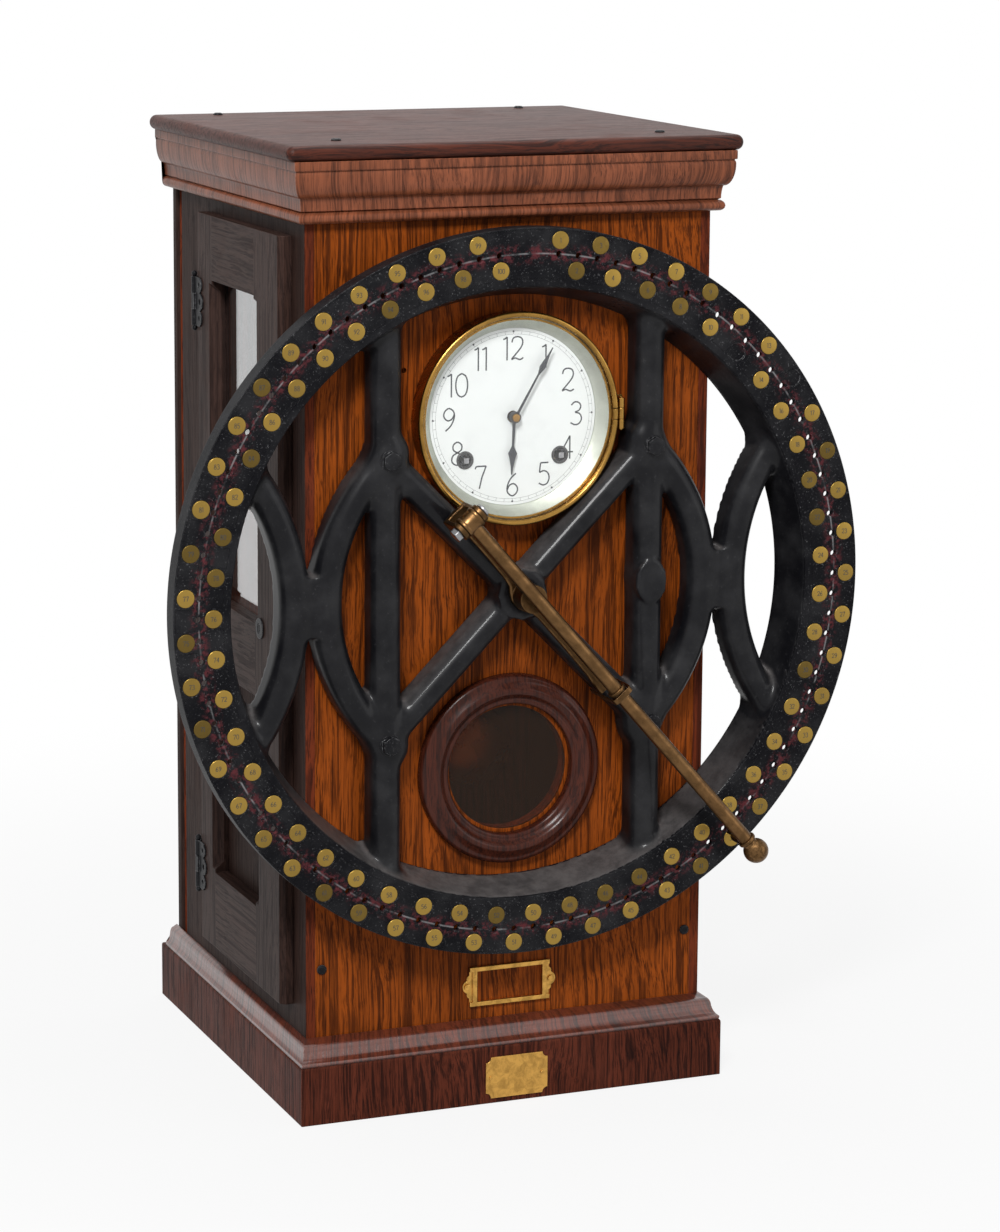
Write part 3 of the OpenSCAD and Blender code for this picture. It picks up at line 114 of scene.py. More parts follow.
class ClockColours(bpy.types.PropertyGroup):
    """Colours of the finishes"""
    oak: colour("Oak", "Ground of the front board", 138, 66, 18)
    oak_streak: colour("Oak streaks", "Streaks of the front board", 48, 20, 7)
    dark_wood: colour("Dark wood", "Ground of the mouldings and the plinth", 92, 44, 30)
    crown_wood: colour("Crown wood", "Ground of the crown moulding", 131, 75, 51)
    dark_streak: colour("Dark wood streaks", "Streaks of the mouldings and the plinth", 28, 16, 15)
    side_wood: colour("Side wood", "Ground of the sides and the door", 84, 62, 55)
    side_streak: colour("Side wood streaks", "Streaks of the sides and the door", 38, 28, 27)
    strip_wood: colour("Strip wood", "Front edges of the side boards", 104, 46, 26)
    iron: colour("Iron", "Black paint of the ring", 15, 15, 18)
    iron_worn: colour("Worn iron", "Bare iron where the paint is worn", 150, 150, 152)
    # Grey for iron faces that look up: partly dust, partly a painted sheen of the light from above.
    dust: colour("Dust", "Dust on iron that looks up", 150, 144, 142)
    rust: colour("Rust", "Rust near the holes", 84, 40, 44)
    brass: colour("Brass", "Polished brass of the bezel and the plates", 204, 156, 80)
    disc_brass: colour("Disc brass", "Brass of the number discs", 232, 190, 96)
    disc_dull: colour("Dull disc brass", "Tarnished brass of the number discs", 150, 124, 66)
    arm_brass: colour("Arm brass", "Brown brass of the lever", 110, 82, 52)
    silver: colour("Silver", "Silvered ring round the dial", 186, 190, 178)
    steel: colour("Steel", "Bare steel", 160, 160, 162)
    dial: colour("Dial", "Paint of the dial", 232, 236, 234)
    ink: colour("Ink", "Numerals and minute track", 40, 44, 48)
    hand: colour("Hands", "Blackened steel of the hands", 30, 34, 40)
    floor: colour("Floor", "Floor and backdrop", 205, 205, 205)


def mm(name):
    """A size of the panel, in millimetres."""
    return getattr(bpy.context.scene.clock_sizes, name) * 1000


def shaded(colour, share):
    """Colour at a share of its lightness."""
    return tuple(c * share for c in colour[:3]) + (1,)


def paint(name, share=1.0):
    """A colour of the panel, at a share of its lightness."""
    return shaded(getattr(bpy.context.scene.clock_colours, name), share)


# Placing

def place(origin, right, up):
    """Origin and three axes of a local frame; the third axis is right x up."""
    right, up = np.array(right, float), np.array(up, float)
    return np.array(origin, float), np.array([right, up, np.cross(right, up)])


def put(points, at):
    """Local points in the frame of the solids: origin + x * right + y * up + z * out."""
    origin, axes = at
    return origin + np.asarray(points, float) @ axes


def on_front(x, z):
    """Frame on the front board, with its third axis out of the front."""
    return place((x, FRONT_Y, z), (1, 0, 0), (0, 0, 1))


def on_pointer(along=0.0, out=0.0):
    """Frame on the pointer's line: first axis along the pointer, third out of the front."""
    turn = float(place_angle(REST))
    right = np.array([math.sin(turn), 0, math.cos(turn)])
    up = np.array([-math.cos(turn), 0, math.sin(turn)])
    origin = np.array([0, FRONT_Y - out, RING_Z]) + along * right
    return place(origin, right, up)


def on_hinge(shift=0.0):
    """Frame whose third axis runs along the lever's hinge pin, at a shift along it."""
    origin, axes = on_pointer(*HINGE)
    return place(origin + shift * axes[1], axes[2], axes[0])


def on_lever():
    """Frame whose third axis runs along the lever from its hinge; the first is out of the front."""
    origin, axes = on_pointer(*HINGE)
    along = math.cos(LEAN) * axes[0] + math.sin(LEAN) * axes[2]
    out = -math.sin(LEAN) * axes[0] + math.cos(LEAN) * axes[2]
    return place(origin, out, np.cross(along, out))


# Surfaces

def grid_cells(rows, columns, wrap_rows, wrap_columns):
    """Row and column of each cell of a grid; a wrapped side has one cell more."""
    lines = np.arange(rows - (not wrap_rows)), np.arange(columns - (not wrap_columns))
    return np.meshgrid(*lines, indexing="ij")


def grid_faces(rows, columns, wrap_rows=False, wrap_columns=False):
    """Quads between neighbouring points of a grid; a wrapped side joins its last line to its first."""
    i, j = grid_cells(rows, columns, wrap_rows, wrap_columns)
    i2, j2 = (i + 1) % rows, (j + 1) % columns
    quads = np.stack([i * columns + j, i * columns + j2, i2 * columns + j2, i2 * columns + j], -1)
    return quads.reshape(-1, 4)


def grid_uv(rows, columns, wrap_rows, wrap_columns, across, along):
    """The corners' places on a flat chart, in metres: column distance and row distance."""
    i, j = grid_cells(rows, columns, wrap_rows, wrap_columns)
    u = np.stack([along[j], along[j + 1], along[j + 1], along[j]], -1)
    v = np.stack([across[i], across[i], across[i + 1], across[i + 1]], -1)
    return (np.stack([u, v], -1) / 1000).reshape(-1, 4, 2)


def surface(points, wrap_rows=False, wrap_columns=False, caps=False):
    """A grid of points as a part: its corners, its quads and a chart by the distances along both directions."""
    rows, columns = points.shape[:2]
    step_u = np.linalg.norm(np.roll(points, -1, 1) - points, axis=2).max(0)
    step_v = np.linalg.norm(np.roll(points, -1, 0) - points, axis=2).max(1)
    along = np.concatenate([[0], np.cumsum(step_u)])
    across = np.concatenate([[0], np.cumsum(step_v)])
    faces = grid_faces(rows, columns, wrap_rows, wrap_columns)
    uv = grid_uv(rows, columns, wrap_rows, wrap_columns, across, along)
    parts = [(points.reshape(-1, 3), faces, uv)]
    if caps:
        for line in (points[0], points[-1][::-1]):
            n = len(line)
            middle = line.mean(0)
            ring = np.arange(n)
            fan = np.stack([(ring + 1) % n, ring, np.full(n, n)], -1)
            flat = np.linalg.norm(np.vstack([line, middle]) - middle, axis=1) / 1000
            uv = np.stack([flat[fan], np.zeros_like(fan, float)], -1)
            parts.append((np.vstack([line, middle]), fan, uv))
    return parts


def welded(parts):
    """Joins parts into one point list without doubles, drops faces that vanish, and turns quads with a doubled
    corner into triangles."""
    points = np.concatenate([p for p, _, _ in parts])
    keys, index = np.unique(np.round(points * 2000).astype(np.int64), axis=0, return_inverse=True)
    first = np.zeros(len(keys), np.int64)
    first[index.ravel()] = np.arange(len(points))
    faces, charts, offset = [], [], 0
    for part, f, uv in parts:
        f = index.ravel()[f + offset]
        offset += len(part)
        same = f == np.roll(f, -1, 1)
        if f.shape[1] == 4:
            twice = (f[:, 0] == f[:, 2]) | (f[:, 1] == f[:, 3])
            quad = (same.sum(1) == 0) & ~twice
            three = (same.sum(1) == 1) & ~twice
            faces.append(f[quad])
            charts.append(uv[quad])
            f, uv, same = f[three], uv[three], same[three]
            if len(f):
                faces.append(f[~same].reshape(-1, 3))
                charts.append(uv[~same].reshape(-1, 3, 2))
        else:
            keep = same.sum(1) == 0
            faces.append(f[keep])
            charts.append(uv[keep])
    return points[first], faces, charts


def flipped(parts):
    """Parts with their faces turned round."""
    return [(p, f[:, ::-1], uv[:, ::-1]) for p, f, uv in parts]


def moved(parts, at):
    """Parts with local points, put into the frame of the solids."""
    return [(put(p, at), f, uv) for p, f, uv in parts]


def charted(points, faces, chart):
    """One part of points and faces, with a flat chart by two of the coordinates."""
    return [(points, faces, points[faces][..., chart] / 1000)]


def repeated(faces, size, count):
    """Faces of one grid, repeated for a count of grids that have a size of points each."""
    return (faces[None] + (np.arange(count) * size)[:, None, None]).reshape(-1, 4)


def volume(points, faces):
    """Signed volume inside the faces: the sum of a . (b x c) / 6 over their triangles."""
    corners = [points[faces[:, k]] for k in range(faces.shape[1])]
    return sum(float((corners[0] * np.cross(b, c)).sum()) / 6 for b, c in zip(corners[1:], corners[2:]))


def outward(parts):
    """Turns a closed part's faces outwards: they are reversed where its signed volume is below zero."""
    middle = np.concatenate([p for p, _, _ in parts]).mean(0)
    inside_out = sum(volume(p - middle, f) for p, f, _ in parts) < 0
    return flipped(parts) if inside_out else parts


def placed_surface(points, at, **kinds):
    """A closed surface from a grid of local points, put at a frame."""
    return outward(surface(put(points, at), **kinds))


def show(name, parts, finish_name, body="case", replaces=(), sharp=38, values=None):
    """Makes the mesh and the object, gives it its material, and names its body and the solids that it replaces."""
    points, faces, charts = welded(parts)
    mesh = bpy.data.meshes.new(name)
    loops = np.concatenate([f.ravel() for f in faces])
    sizes = np.concatenate([np.full(len(f), f.shape[1]) for f in faces])
    used, loops = np.unique(loops, return_inverse=True)
    mesh.vertices.add(len(used))
    mesh.vertices.foreach_set("co", (points[used] / 1000).astype(np.float32).ravel())
    mesh.loops.add(len(loops))
    mesh.loops.foreach_set("vertex_index", loops.astype(np.int32).ravel())
    mesh.polygons.add(len(sizes))
    starts = np.concatenate([[0], np.cumsum(sizes)[:-1]])
    mesh.polygons.foreach_set("loop_start", starts.astype(np.int32))
    mesh.polygons.foreach_set("use_smooth", np.ones(len(sizes), bool))
    mesh.update(calc_edges=True)
    chart = mesh.uv_layers.new(name="chart")
    flat = np.concatenate([c.reshape(-1, 2) for c in charts])
    chart.uv.foreach_set("vector", flat.astype(np.float32).ravel())
    if values is not None:
        tone = mesh.attributes.new("tone", "FLOAT", "POINT")
        tone.data.foreach_set("value", values(points[used]).astype(np.float32))
    mesh.validate()
    mesh.set_sharp_from_angle(angle=math.radians(sharp))
    mesh.materials.append(finish(finish_name))
    piece = bpy.data.objects.new(name, mesh)
    bpy.context.scene.collection.objects.link(piece)
    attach(piece, body)
    if replaces:
        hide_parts(*replaces)
    return piece


def dress(finish_name, *nodes):
    """Gives a finish to solids that show themselves."""
    for node in nodes:
        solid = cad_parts[node]
        if not solid.material_slots:
            solid.data.materials.append(None)
        for entry in solid.material_slots:
            entry.material = finish(finish_name)


def arc(x, y, radius, start, end, count=7):
    """Points on a circle: middle + radius * (cos, sin) of angles from start to end, in degrees."""
    turn = np.radians(np.linspace(start, end, count))
    return np.stack([x + radius * np.cos(turn), y + radius * np.sin(turn)], -1)


def softened(corners, radius, closed=True, steps=4):
    """Outline with its corners rounded: each corner P becomes the curve (1-s)^2 A + 2s(1-s) P + s^2 B between the
    points A and B at the radius before and after it, with one more point on each side to hold the flats."""
    p = np.array(corners, float)
    reach = np.broadcast_to(np.asarray(radius, float), (len(p),)).copy()
    before, after = np.roll(p, 1, 0) - p, np.roll(p, -1, 0) - p
    long_before, long_after = np.linalg.norm(before, axis=1), np.linalg.norm(after, axis=1)
    reach = np.minimum(reach, 0.42 * np.minimum(long_before, long_after))
    if not closed:
        reach[[0, -1]] = 0
    back, ahead = before / long_before[:, None], after / long_after[:, None]
    a, b = p + back * reach[:, None], p + ahead * reach[:, None]
    s = np.linspace(0, 1, steps)[None, :, None]
    curve = (1 - s) ** 2 * a[:, None] + 2 * s * (1 - s) * p[:, None] + s ** 2 * b[:, None]
    hold = [(p + way * (1.15 * reach)[:, None])[:, None] for way in (back, ahead)]
    line = np.concatenate([hold[0], curve, hold[1]], 1).reshape(-1, 2)
    if not closed:
        line = line[steps + 1:-(steps + 1)]
    apart = np.linalg.norm(line - np.roll(line, 1, 0), axis=1) > 1e-4
    return line[apart] if closed else line[np.concatenate([[True], apart[1:]])]


def full_turn(count):
    """Even angles of one turn, in radians."""
    return np.arange(count) * 2 * math.pi / count


def revolved(radius, height, turn):
    """Points (r cos t, r sin t, h)."""
    radius, height, turn = np.broadcast_arrays(radius, height, turn)
    return np.stack([radius * np.cos(turn), radius * np.sin(turn), height], -1)


def turned(profile, at, count, closed=True):
    """Turned shape: each profile point (r, h) goes round the frame's third axis at (r cos t, r sin t, h)."""
    line = np.asarray(profile, float)
    points = revolved(line[:, :1], line[:, 1:], full_turn(count))
    return placed_surface(points, at, wrap_rows=closed, wrap_columns=True)


def soft_turned(corners, radius, at, count):
    """Turned shape from an open outline that begins and ends on the axis, with soft corners."""
    return turned(softened(corners, radius, closed=False), at, count, False)


def part_turned(profile, at, start, end, count):
    """Turned shape over a part of the turn, in degrees: the closed profile (r, h) goes from start to end, and its
    two ends are capped."""
    line = np.asarray(profile, float)
    turn = np.radians(np.linspace(start, end, count))[:, None]
    return placed_surface(revolved(line[:, 0], line[:, 1], turn), at, wrap_columns=True, caps=True)


def hexagon_head(half_flats, limits, rises, at, caps=False):
    """Head of a bolt or nut: rows at the rises, each a hexagon cut off at a limit radius. The hexagon's radius is
    half the distance of two flats over the cosine of the angle from the nearest flat."""
    turn = full_turn(48)
    hexagon = half_flats / np.cos((turn + math.pi / 6) % (math.pi / 3) - math.pi / 6)
    radius = np.minimum(hexagon, np.array(limits)[:, None])
    return placed_surface(revolved(radius, np.array(rises)[:, None], turn), at, wrap_columns=True, caps=caps)


def oblong(inner, outer, low, high):
    """Profile of a ring or disc with a square section."""
    return [(inner, low), (outer, low), (outer, high), (inner, high)]


def block(low, high, radius=1.0, steps=3):
    """Block with round edges: points q on a cube's six faces go to c + radius * unit(q - c), where c is q held
    inside the block that is smaller by the radius on every side."""
    low, high = np.array(low, float), np.array(high, float)
    half, middle = (high - low) / 2, (high + low) / 2
    radius = min(radius, half.min() * 0.999)
    bend = np.tan(np.radians(np.linspace(-45, 45, 2 * steps + 1)))
    parts = []
    for axis in range(3):
        u, v = (axis + 1) % 3, (axis + 2) % 3
        lines = [np.concatenate([radius - half[k] + radius * bend[:steps + 1],
                                 half[k] - radius + radius * bend[steps:]]) for k in (u, v)]
        a, b = np.meshgrid(*lines, indexing="ij")
        for side in (-1, 1):
            q = np.empty(a.shape + (3,))
            q[..., axis], q[..., u], q[..., v] = side * half[axis], a, b
            inner = np.clip(q, -half + radius, half - radius)
            away = q - inner
            q = middle + inner + radius * away / np.linalg.norm(away, axis=-1, keepdims=True)
            parts += surface(q) if side > 0 else flipped(surface(q))
    return outward(parts)


def strips(profile, corners, closed_path=False):
    """Profile carried along a mitred path: each profile point (reach, z) takes the path's corner for its own reach."""
    line = np.asarray(profile, float)
    points = np.stack([corners(line[:, 0], line[:, 1], k) for k in range(4)])
    return outward(surface(points, wrap_rows=closed_path, wrap_columns=True, caps=not closed_path))


def moulding(name, node, outline, finish_name):
    """Moulding round the right side, the front and the left side of the case. The outline holds (share of the
    reach, height over the foot); its corners take the reach of the solid in front and at the sides."""
    low, high = box_mm(node)
    side = float(box_mm("back_board")[1][0])
    reach_front, reach_side = FRONT_Y - low[1], high[0] - side

    def corner(share, z, k):
        """Corner k of the path, at a share of the reach."""
        x = (side + share * reach_side) * (1 if k < 2 else -1)
        y = high[1] + 0 * share if k in (0, 3) else FRONT_Y - share * reach_front
        return np.stack([x, y, low[2] + z], -1)
    show(name, strips(outline, corner), finish_name, replaces=[node], sharp=50)


def spline(knots, count):
    """Smooth curve through knots: on each span the Catmull-Rom cubic of its four neighbours, sampled evenly."""
    p = np.array(knots, float)
    p = np.vstack([2 * p[0] - p[1], p, 2 * p[-1] - p[-2]])
    t = np.linspace(0, len(p) - 3, count)
    k = np.minimum(t.astype(int), len(p) - 4)
    s = (t - k)[:, None]
    a, b, c, d = p[k], p[k + 1], p[k + 2], p[k + 3]
    square, cube = 2 * a - 5 * b + 4 * c - d, 3 * b - a - 3 * c + d
    return 0.5 * (2 * b + (c - a) * s + square * s ** 2 + cube * s ** 3)


def stroke(line, width, low, high):
    """Flat stroke: a box section of the width, from low to high, carried along a line in the plane."""
    line = np.asarray(line, float)
    ahead = np.gradient(line, axis=0)
    ahead /= np.linalg.norm(ahead, axis=1, keepdims=True)
    side = np.stack([-ahead[:, 1], ahead[:, 0]], -1) * (np.asarray(width, float) / 2).reshape(-1, 1)
    z = np.ones(len(line))
    section = ((1, low), (-1, low), (-1, high), (1, high))
    return np.stack([np.column_stack([line + s * side, z * h]) for s, h in section], 1)


# Digits as lines in a box that is 1 high, with the middle at x = 0
DIGITS = {
    "0": [[(0, 1), (-0.2, 0.86), (-0.27, 0.5), (-0.2, 0.14), (0, 0), (0.2, 0.14), (0.27, 0.5), (0.2, 0.86), (0, 1)]],
    "1": [[(0.04, 0), (0.04, 0.5), (0.04, 1)], [(0.04, 1), (-0.05, 0.93), (-0.14, 0.9)]],
    "2": [[(-0.25, 0.76), (-0.19, 0.94), (0, 1), (0.19, 0.93), (0.25, 0.74), (0.16, 0.52), (-0.1, 0.22), (-0.27, 0.03),
           (-0.1, 0.09), (0.12, 0.01), (0.28, 0.09)]],
    "3": [[(-0.22, 0.86), (-0.06, 0.99), (0.14, 0.95), (0.22, 0.78), (0.13, 0.61), (-0.05, 0.55), (0.16, 0.48),
           (0.26, 0.27), (0.16, 0.06), (-0.04, 0), (-0.25, 0.1)]],
    "4": [[(0.12, 0), (0.12, 0.5), (0.12, 1)], [(0.12, 1), (-0.1, 0.62), (-0.27, 0.3)],
          [(-0.27, 0.3), (0, 0.3), (0.27, 0.3)]],
    "5": [[(0.2, 0.97), (0, 0.97), (-0.16, 0.97)], [(-0.16, 0.97), (-0.19, 0.75), (-0.21, 0.55)],
          [(-0.21, 0.55), (-0.02, 0.62), (0.17, 0.53), (0.24, 0.3), (0.15, 0.07), (-0.04, 0), (-0.24, 0.09)]],
    "6": [[(0.16, 0.97), (-0.08, 0.76), (-0.23, 0.44), (-0.22, 0.16), (0, 0), (0.2, 0.14), (0.23, 0.36), (0.06, 0.53),
           (-0.14, 0.46), (-0.24, 0.27)]],
    "7": [[(-0.25, 0.86), (-0.2, 0.96), (0, 0.97), (0.25, 0.97)], [(0.25, 0.97), (0.06, 0.5), (-0.06, 0)]],
    "8": [[(0, 0.54), (-0.18, 0.66), (-0.19, 0.87), (0, 1), (0.19, 0.87), (0.18, 0.66), (0, 0.54), (-0.22, 0.4),
           (-0.24, 0.14), (0, 0), (0.24, 0.14), (0.22, 0.4), (0, 0.54)]],
    "9": [[(-0.16, 0.03), (0.08, 0.24), (0.23, 0.56), (0.22, 0.84), (0, 1), (-0.2, 0.86), (-0.23, 0.64), (-0.06, 0.47),
           (0.14, 0.54), (0.24, 0.73)]],
}
WIDE, NARROW = 0.66, 0.36  # room of a digit and of a 1, as shares of the height


def written(text, height, width, low, high, fine):
    """Strokes of a number, centred on the origin: one box-section line for each digit's line."""
    widths = [NARROW if digit == "1" else WIDE for digit in text]
    x = -sum(widths) / 2
    strokes = []
    for digit, wide in zip(text, widths):
        for knots in DIGITS[digit]:
            line = np.array(knots, float) + [x + wide / 2, -0.5]
            count = max(2, int(len(knots) * fine)) if len(knots) > 3 else 3
            strokes.append(stroke(spline(line * height, count), width, low, high))
        x += wide
    return strokes


# Ring

def place_angle(k):
    """Clock angle of a numbered place, clockwise from the top, in radians."""
    return math.pi + (np.asarray(k, float) - LOWEST) * 2 * math.pi / PLACES


def polar(radius, angle, z):
    """Points (r sin a, r cos a, z) of a clock angle a."""
    radius, angle, z = np.broadcast_arrays(radius, angle, z)
    return np.stack([radius * np.sin(angle), radius * np.cos(angle), z], -1)


def cell_edge(k, r0, r1, side):
    """The outline of a cell of the ring between two radii: side steps along each of its four sides, clockwise."""
    half = math.pi / PLACES
    up = np.linspace(0, 1, side + 1)[:-1]
    one = np.ones(side)
    share = np.concatenate([2 * up - 1, one, 1 - 2 * up, -one])
    radius = np.concatenate([one * r1, r1 + (r0 - r1) * up, one * r0, r0 + (r1 - r0) * up])
    return place_angle(k)[:, None] + half * share, np.broadcast_to(radius, (len(k), 4 * side))


def circle_in(k, middle, radius, side):
    """A circle in a cell, with as many points as the cell's outline, from its upper left clockwise."""
    turn = np.radians(135) - full_turn(4 * side)
    a = place_angle(k)[:, None]
    x = middle * np.sin(a) + radius * (np.sin(turn) * np.sin(a) + np.cos(turn) * np.cos(a))
    y = middle * np.cos(a) + radius * (np.sin(turn) * np.cos(a) - np.cos(turn) * np.sin(a))
    return x, y


def cells(k, r0, r1, side, rows):
    """Cells of the ring's face: the outline of each at a height (z,), then circles (middle radius, radius, z), as
    rows of one grid."""
    angle, radius = cell_edge(k, r0, r1, side)
    lines = []
    for row in rows:
        if len(row) == 1:
            lines.append(polar(radius, angle, row[0]))
        else:
            x, y = circle_in(k, row[0], row[1], side)
            lines.append(np.stack([x, y, np.full_like(x, row[2])], -1))
    points = np.stack(lines, 1)
    faces = grid_faces(len(rows), 4 * side, False, True)[:, ::-1]
    return charted(points.reshape(-1, 3), repeated(faces, len(rows) * 4 * side, len(k)), [0, 1])


def plain_cells(k, r0, r1, side, z, front=True):
    """Cells without a circle: a grid of side steps round the ring and side rows between the radii."""
    angle = place_angle(k)[:, None, None] + math.pi / PLACES * np.linspace(-1, 1, side + 1)
    points = polar(np.linspace(r0, r1, side + 1)[:, None], angle, z)
    faces = grid_faces(side + 1, side + 1)
    if front:
        faces = faces[:, ::-1]
    return charted(points.reshape(-1, 3), repeated(faces, (side + 1) ** 2, len(k)), [0, 1])


def rim_strip(outline, radius, side):
    """A strip of the ring's edge: the softened outline's points (r, z) carried round at the cells' own angles."""
    line = softened(outline, radius, closed=False)
    turn = place_angle(0) + math.pi / PLACES * (np.arange(PLACES * side) * 2 / side - 1)
    return surface(polar(line[:, :1], turn[None], line[:, 1:]), wrap_columns=True)


def ring_face_parts():
    """Annulus with a hole and a seat at each numbered place: cells for the seats and holes, strips for both edges."""
    side, face, back = 6, mm("face_out"), mm("face_out") - 6
    numbered, every, blank = np.arange(1, 101), np.arange(PLACES), np.array([0, 101])
    odd, even = numbered[numbered % 2 == 1], numbered[numbered % 2 == 0]
    hole, seat, middle = mm("hole_width") / 2, mm("disc_width") / 2 + 0.05, mm("hole_radius")
    floor, within, outside = face - 1.2, 325.0, (285.0, 303.0, 310.6, 328.2)
    inner_band, hole_band, outer_band = outside[:2], outside[1:3], outside[2:]

    def seats(k, band, radius):
        """Cells of a band with the stepped edge, the wall and the floor of a seat."""
        return cells(k, *band, side, [(face,), (radius, seat + 0.35, face), (radius, seat, face - 0.3),
                                      (radius, seat, floor), (radius, 0.0, floor)])

    parts = seats(even, inner_band, mm("even_radius")) + seats(odd, outer_band, mm("odd_radius"))
    parts += plain_cells(np.concatenate([odd, blank]), *inner_band, side, face)
    parts += plain_cells(np.concatenate([even, blank]), *outer_band, side, face)
    parts += plain_cells(blank, *hole_band, side, face)
    parts += plain_cells(blank, *hole_band, side, back, front=False)
    parts += cells(numbered, *hole_band, side, [(face,), (middle, hole + 0.5, face), (middle, hole, face - 0.45),
                                                (middle, hole, back), (back,)])
    parts += plain_cells(every, *inner_band, side, back, front=False)
    parts += plain_cells(every, outer_band[0], within, side, back, front=False)
    inner, foot, lip = mm("face_inner"), mm("wall_inner"), face - 19.5
    edges = rim_strip([(outside[0], face), (280.5, face), (inner, face), (foot, 0.5), (foot + 7, 0.5),
                       (outside[0], back)], (0, 0, 1.1, 0.6, 0.6, 0), side)
    edges += rim_strip([(within, back), (within, lip), (RING_R, lip), (RING_R, face), (outside[3], face)],
                       (0, 0.5, 0.8, 1.1, 0), side)
    return moved(parts + flipped(edges), on_front(0, RING_Z))


def blended(a, b, k):
    """Smooth union of two distances: b + (a - b) h - k h (1 - h), where h = clamp(1/2 + (b - a) / 2k)."""
    h = np.clip(0.5 + 0.5 * (b - a) / k, 0, 1)
    return b + (a - b) * h - k * h * (1 - h)


def bar_skin(q, z, half, crown):
    """Distance from a bar with a round crown: hypot(q, height above the crown's centre line) - half its width."""
    return np.hypot(q, np.maximum(z - (crown - half), 0)) - half


def common(*distances):
    """Distance from what several shapes have in common: the largest of their distances."""
    return np.maximum.reduce(distances)


def casting(x, y, z):
    """Distance from the casting's skin: bars, crossed arms, four curved bars, hub, boss and wall, blended by
    fillets."""
    k, half, crown = mm("fillet"), mm("bar_width") / 2, mm("bar_crown")
    ax, ay, r = np.abs(x), np.abs(y), np.hypot(x, y)

    def curved(across, radius, widest):
        """Bar along a circle: across is the distance from its middle, measured sideways."""
        turn = np.minimum(np.arctan2(ay, across), math.radians(widest))
        away = np.hypot(across - radius * np.cos(turn), ay - radius * np.sin(turn))
        return bar_skin(away, z, half, crown - 0.8)

    d = bar_skin(ax - BOLT_X, z, half, crown)
    t = np.clip((ax * BOLT_X + ay * BOLT_Z) / (BOLT_X ** 2 + BOLT_Z ** 2), 0, 1)
    arm = bar_skin(np.hypot(ax - BOLT_X * t, ay - BOLT_Z * t), z, 12.5, crown - 1.5)
    d = blended(d, arm, k)
    web = common(np.abs(ax - 197) - 7, ay - 26, z - 27)
    d = blended(d, blended(blended(curved(ax - 7, 175, 50), curved(418 - ax, 206, 40), k), web, 7), k)
    hub = common(r - 21.5, z - 33.5)
    d = blended(d, np.maximum(hub, -40) - 1.2, 5)
    turn = (np.arctan2(y, x) + math.pi / 12) % (math.pi / 6) - math.pi / 12
    bead = np.sqrt((r * np.cos(turn) - 20.5) ** 2 + (r * np.sin(turn)) ** 2 + (z - 31.5) ** 2) - 3.6
    d = blended(d, bead, 1.2)
    from_boss = x - 126.5, y - 3
    boss = common((np.hypot(from_boss[0] / 15, from_boss[1] / 20) - 1) * 17, z - 34.5)
    dish = common((np.hypot(from_boss[0] / 12, from_boss[1] / 16.5) - 1) * 14, 34.0 - z)
    d = common(blended(d, boss, 3), -dish, 3 - z)
    slope = (mm("face_inner") - mm("wall_inner")) / (mm("face_out") - 0.5)
    wall = mm("wall_inner") - 0.25 + slope * (z - 0.5)
    under_face = z - mm("face_out") + 1.2
    d = blended(d, common((wall - r) * 0.96, r - wall - 4, 0.6 - z, under_face), k)
    pad = common(np.hypot(ax - BOLT_X, ay - BOLT_Z) - 12, 0.3 - z, z - 10)
    return common(np.minimum(d, pad), 12.2 - r, r - wall - 4, 0.3 - z, under_face)


def skin(field, low, high, steps):
    """Surface of a distance field: each grid cell that the zero level crosses gets the mean of the crossings on its
    edges, each crossed grid edge joins its four cells by a quad, and the points are moved onto the zero level by
    d * slope / |slope|^2, twice."""
    axes = [np.linspace(low[k], high[k], steps[k]) for k in range(3)]
    grid = np.stack(np.meshgrid(*axes, indexing="ij"), -1)
    value = field(grid[..., 0], grid[..., 1], grid[..., 2])
    inside = value < 0
    n = np.array(value.shape) - 1
    total, count = np.zeros((*n, 3)), np.zeros(tuple(n))

    def cut(array, shift):
        """The samples at one corner of every grid cell."""
        return array[tuple(slice(s, s + m) for s, m in zip(shift, n))]

    for axis in range(3):
        for b in (0, 1):
            for c in (0, 1):
                start = np.insert([b, c], axis, 0)
                end = np.insert([b, c], axis, 1)
                va, vb = cut(value, start), cut(value, end)
                crossed = cut(inside, start) != cut(inside, end)
                t = np.where(crossed, va / np.where(crossed, va - vb, 1), 0)[..., None]
                pa, pb = cut(grid, start), cut(grid, end)
                total += np.where(crossed[..., None], pa + t * (pb - pa), 0)
                count += crossed
    crossed = count > 0
    index = np.full(tuple(n), -1)
    index[crossed] = np.arange(crossed.sum())
    points = total[crossed] / count[crossed][:, None]
    quads = []
    for axis in range(3):
        u, v = (axis + 1) % 3, (axis + 2) % 3
        a = np.moveaxis(inside, (axis, u, v), (0, 1, 2))
        i = np.moveaxis(index, (axis, u, v), (0, 1, 2))
        change = a[:-1, 1:-1, 1:-1] != a[1:, 1:-1, 1:-1]
        corners = np.stack([i[:, :-1, :-1], i[:, 1:, :-1], i[:, 1:, 1:], i[:, :-1, 1:]], -1)
        found = corners[change]
        leaving = a[:-1, 1:-1, 1:-1][change]
        found[~leaving] = found[~leaving][:, ::-1]
        quads.append(found)
    for _ in range(2):
        d = field(*points.T)
        slope = np.stack([field(*(points + shift).T) - d for shift in np.eye(3) * 0.1], -1) / 0.1
        move = -d[:, None] * slope / np.maximum((slope ** 2).sum(1), 0.3)[:, None]
        points = points + np.clip(move, -1, 1)
    return points, np.concatenate(quads)


# Materials

def feed(tree, item, inputs):
    """Sets a node's inputs, or links them where the value is another node's output."""
    for key, value in inputs.items():
        if isinstance(value, bpy.types.NodeSocket):
            tree.links.new(value, item.inputs[key])
        else:
            item.inputs[key].default_value = value


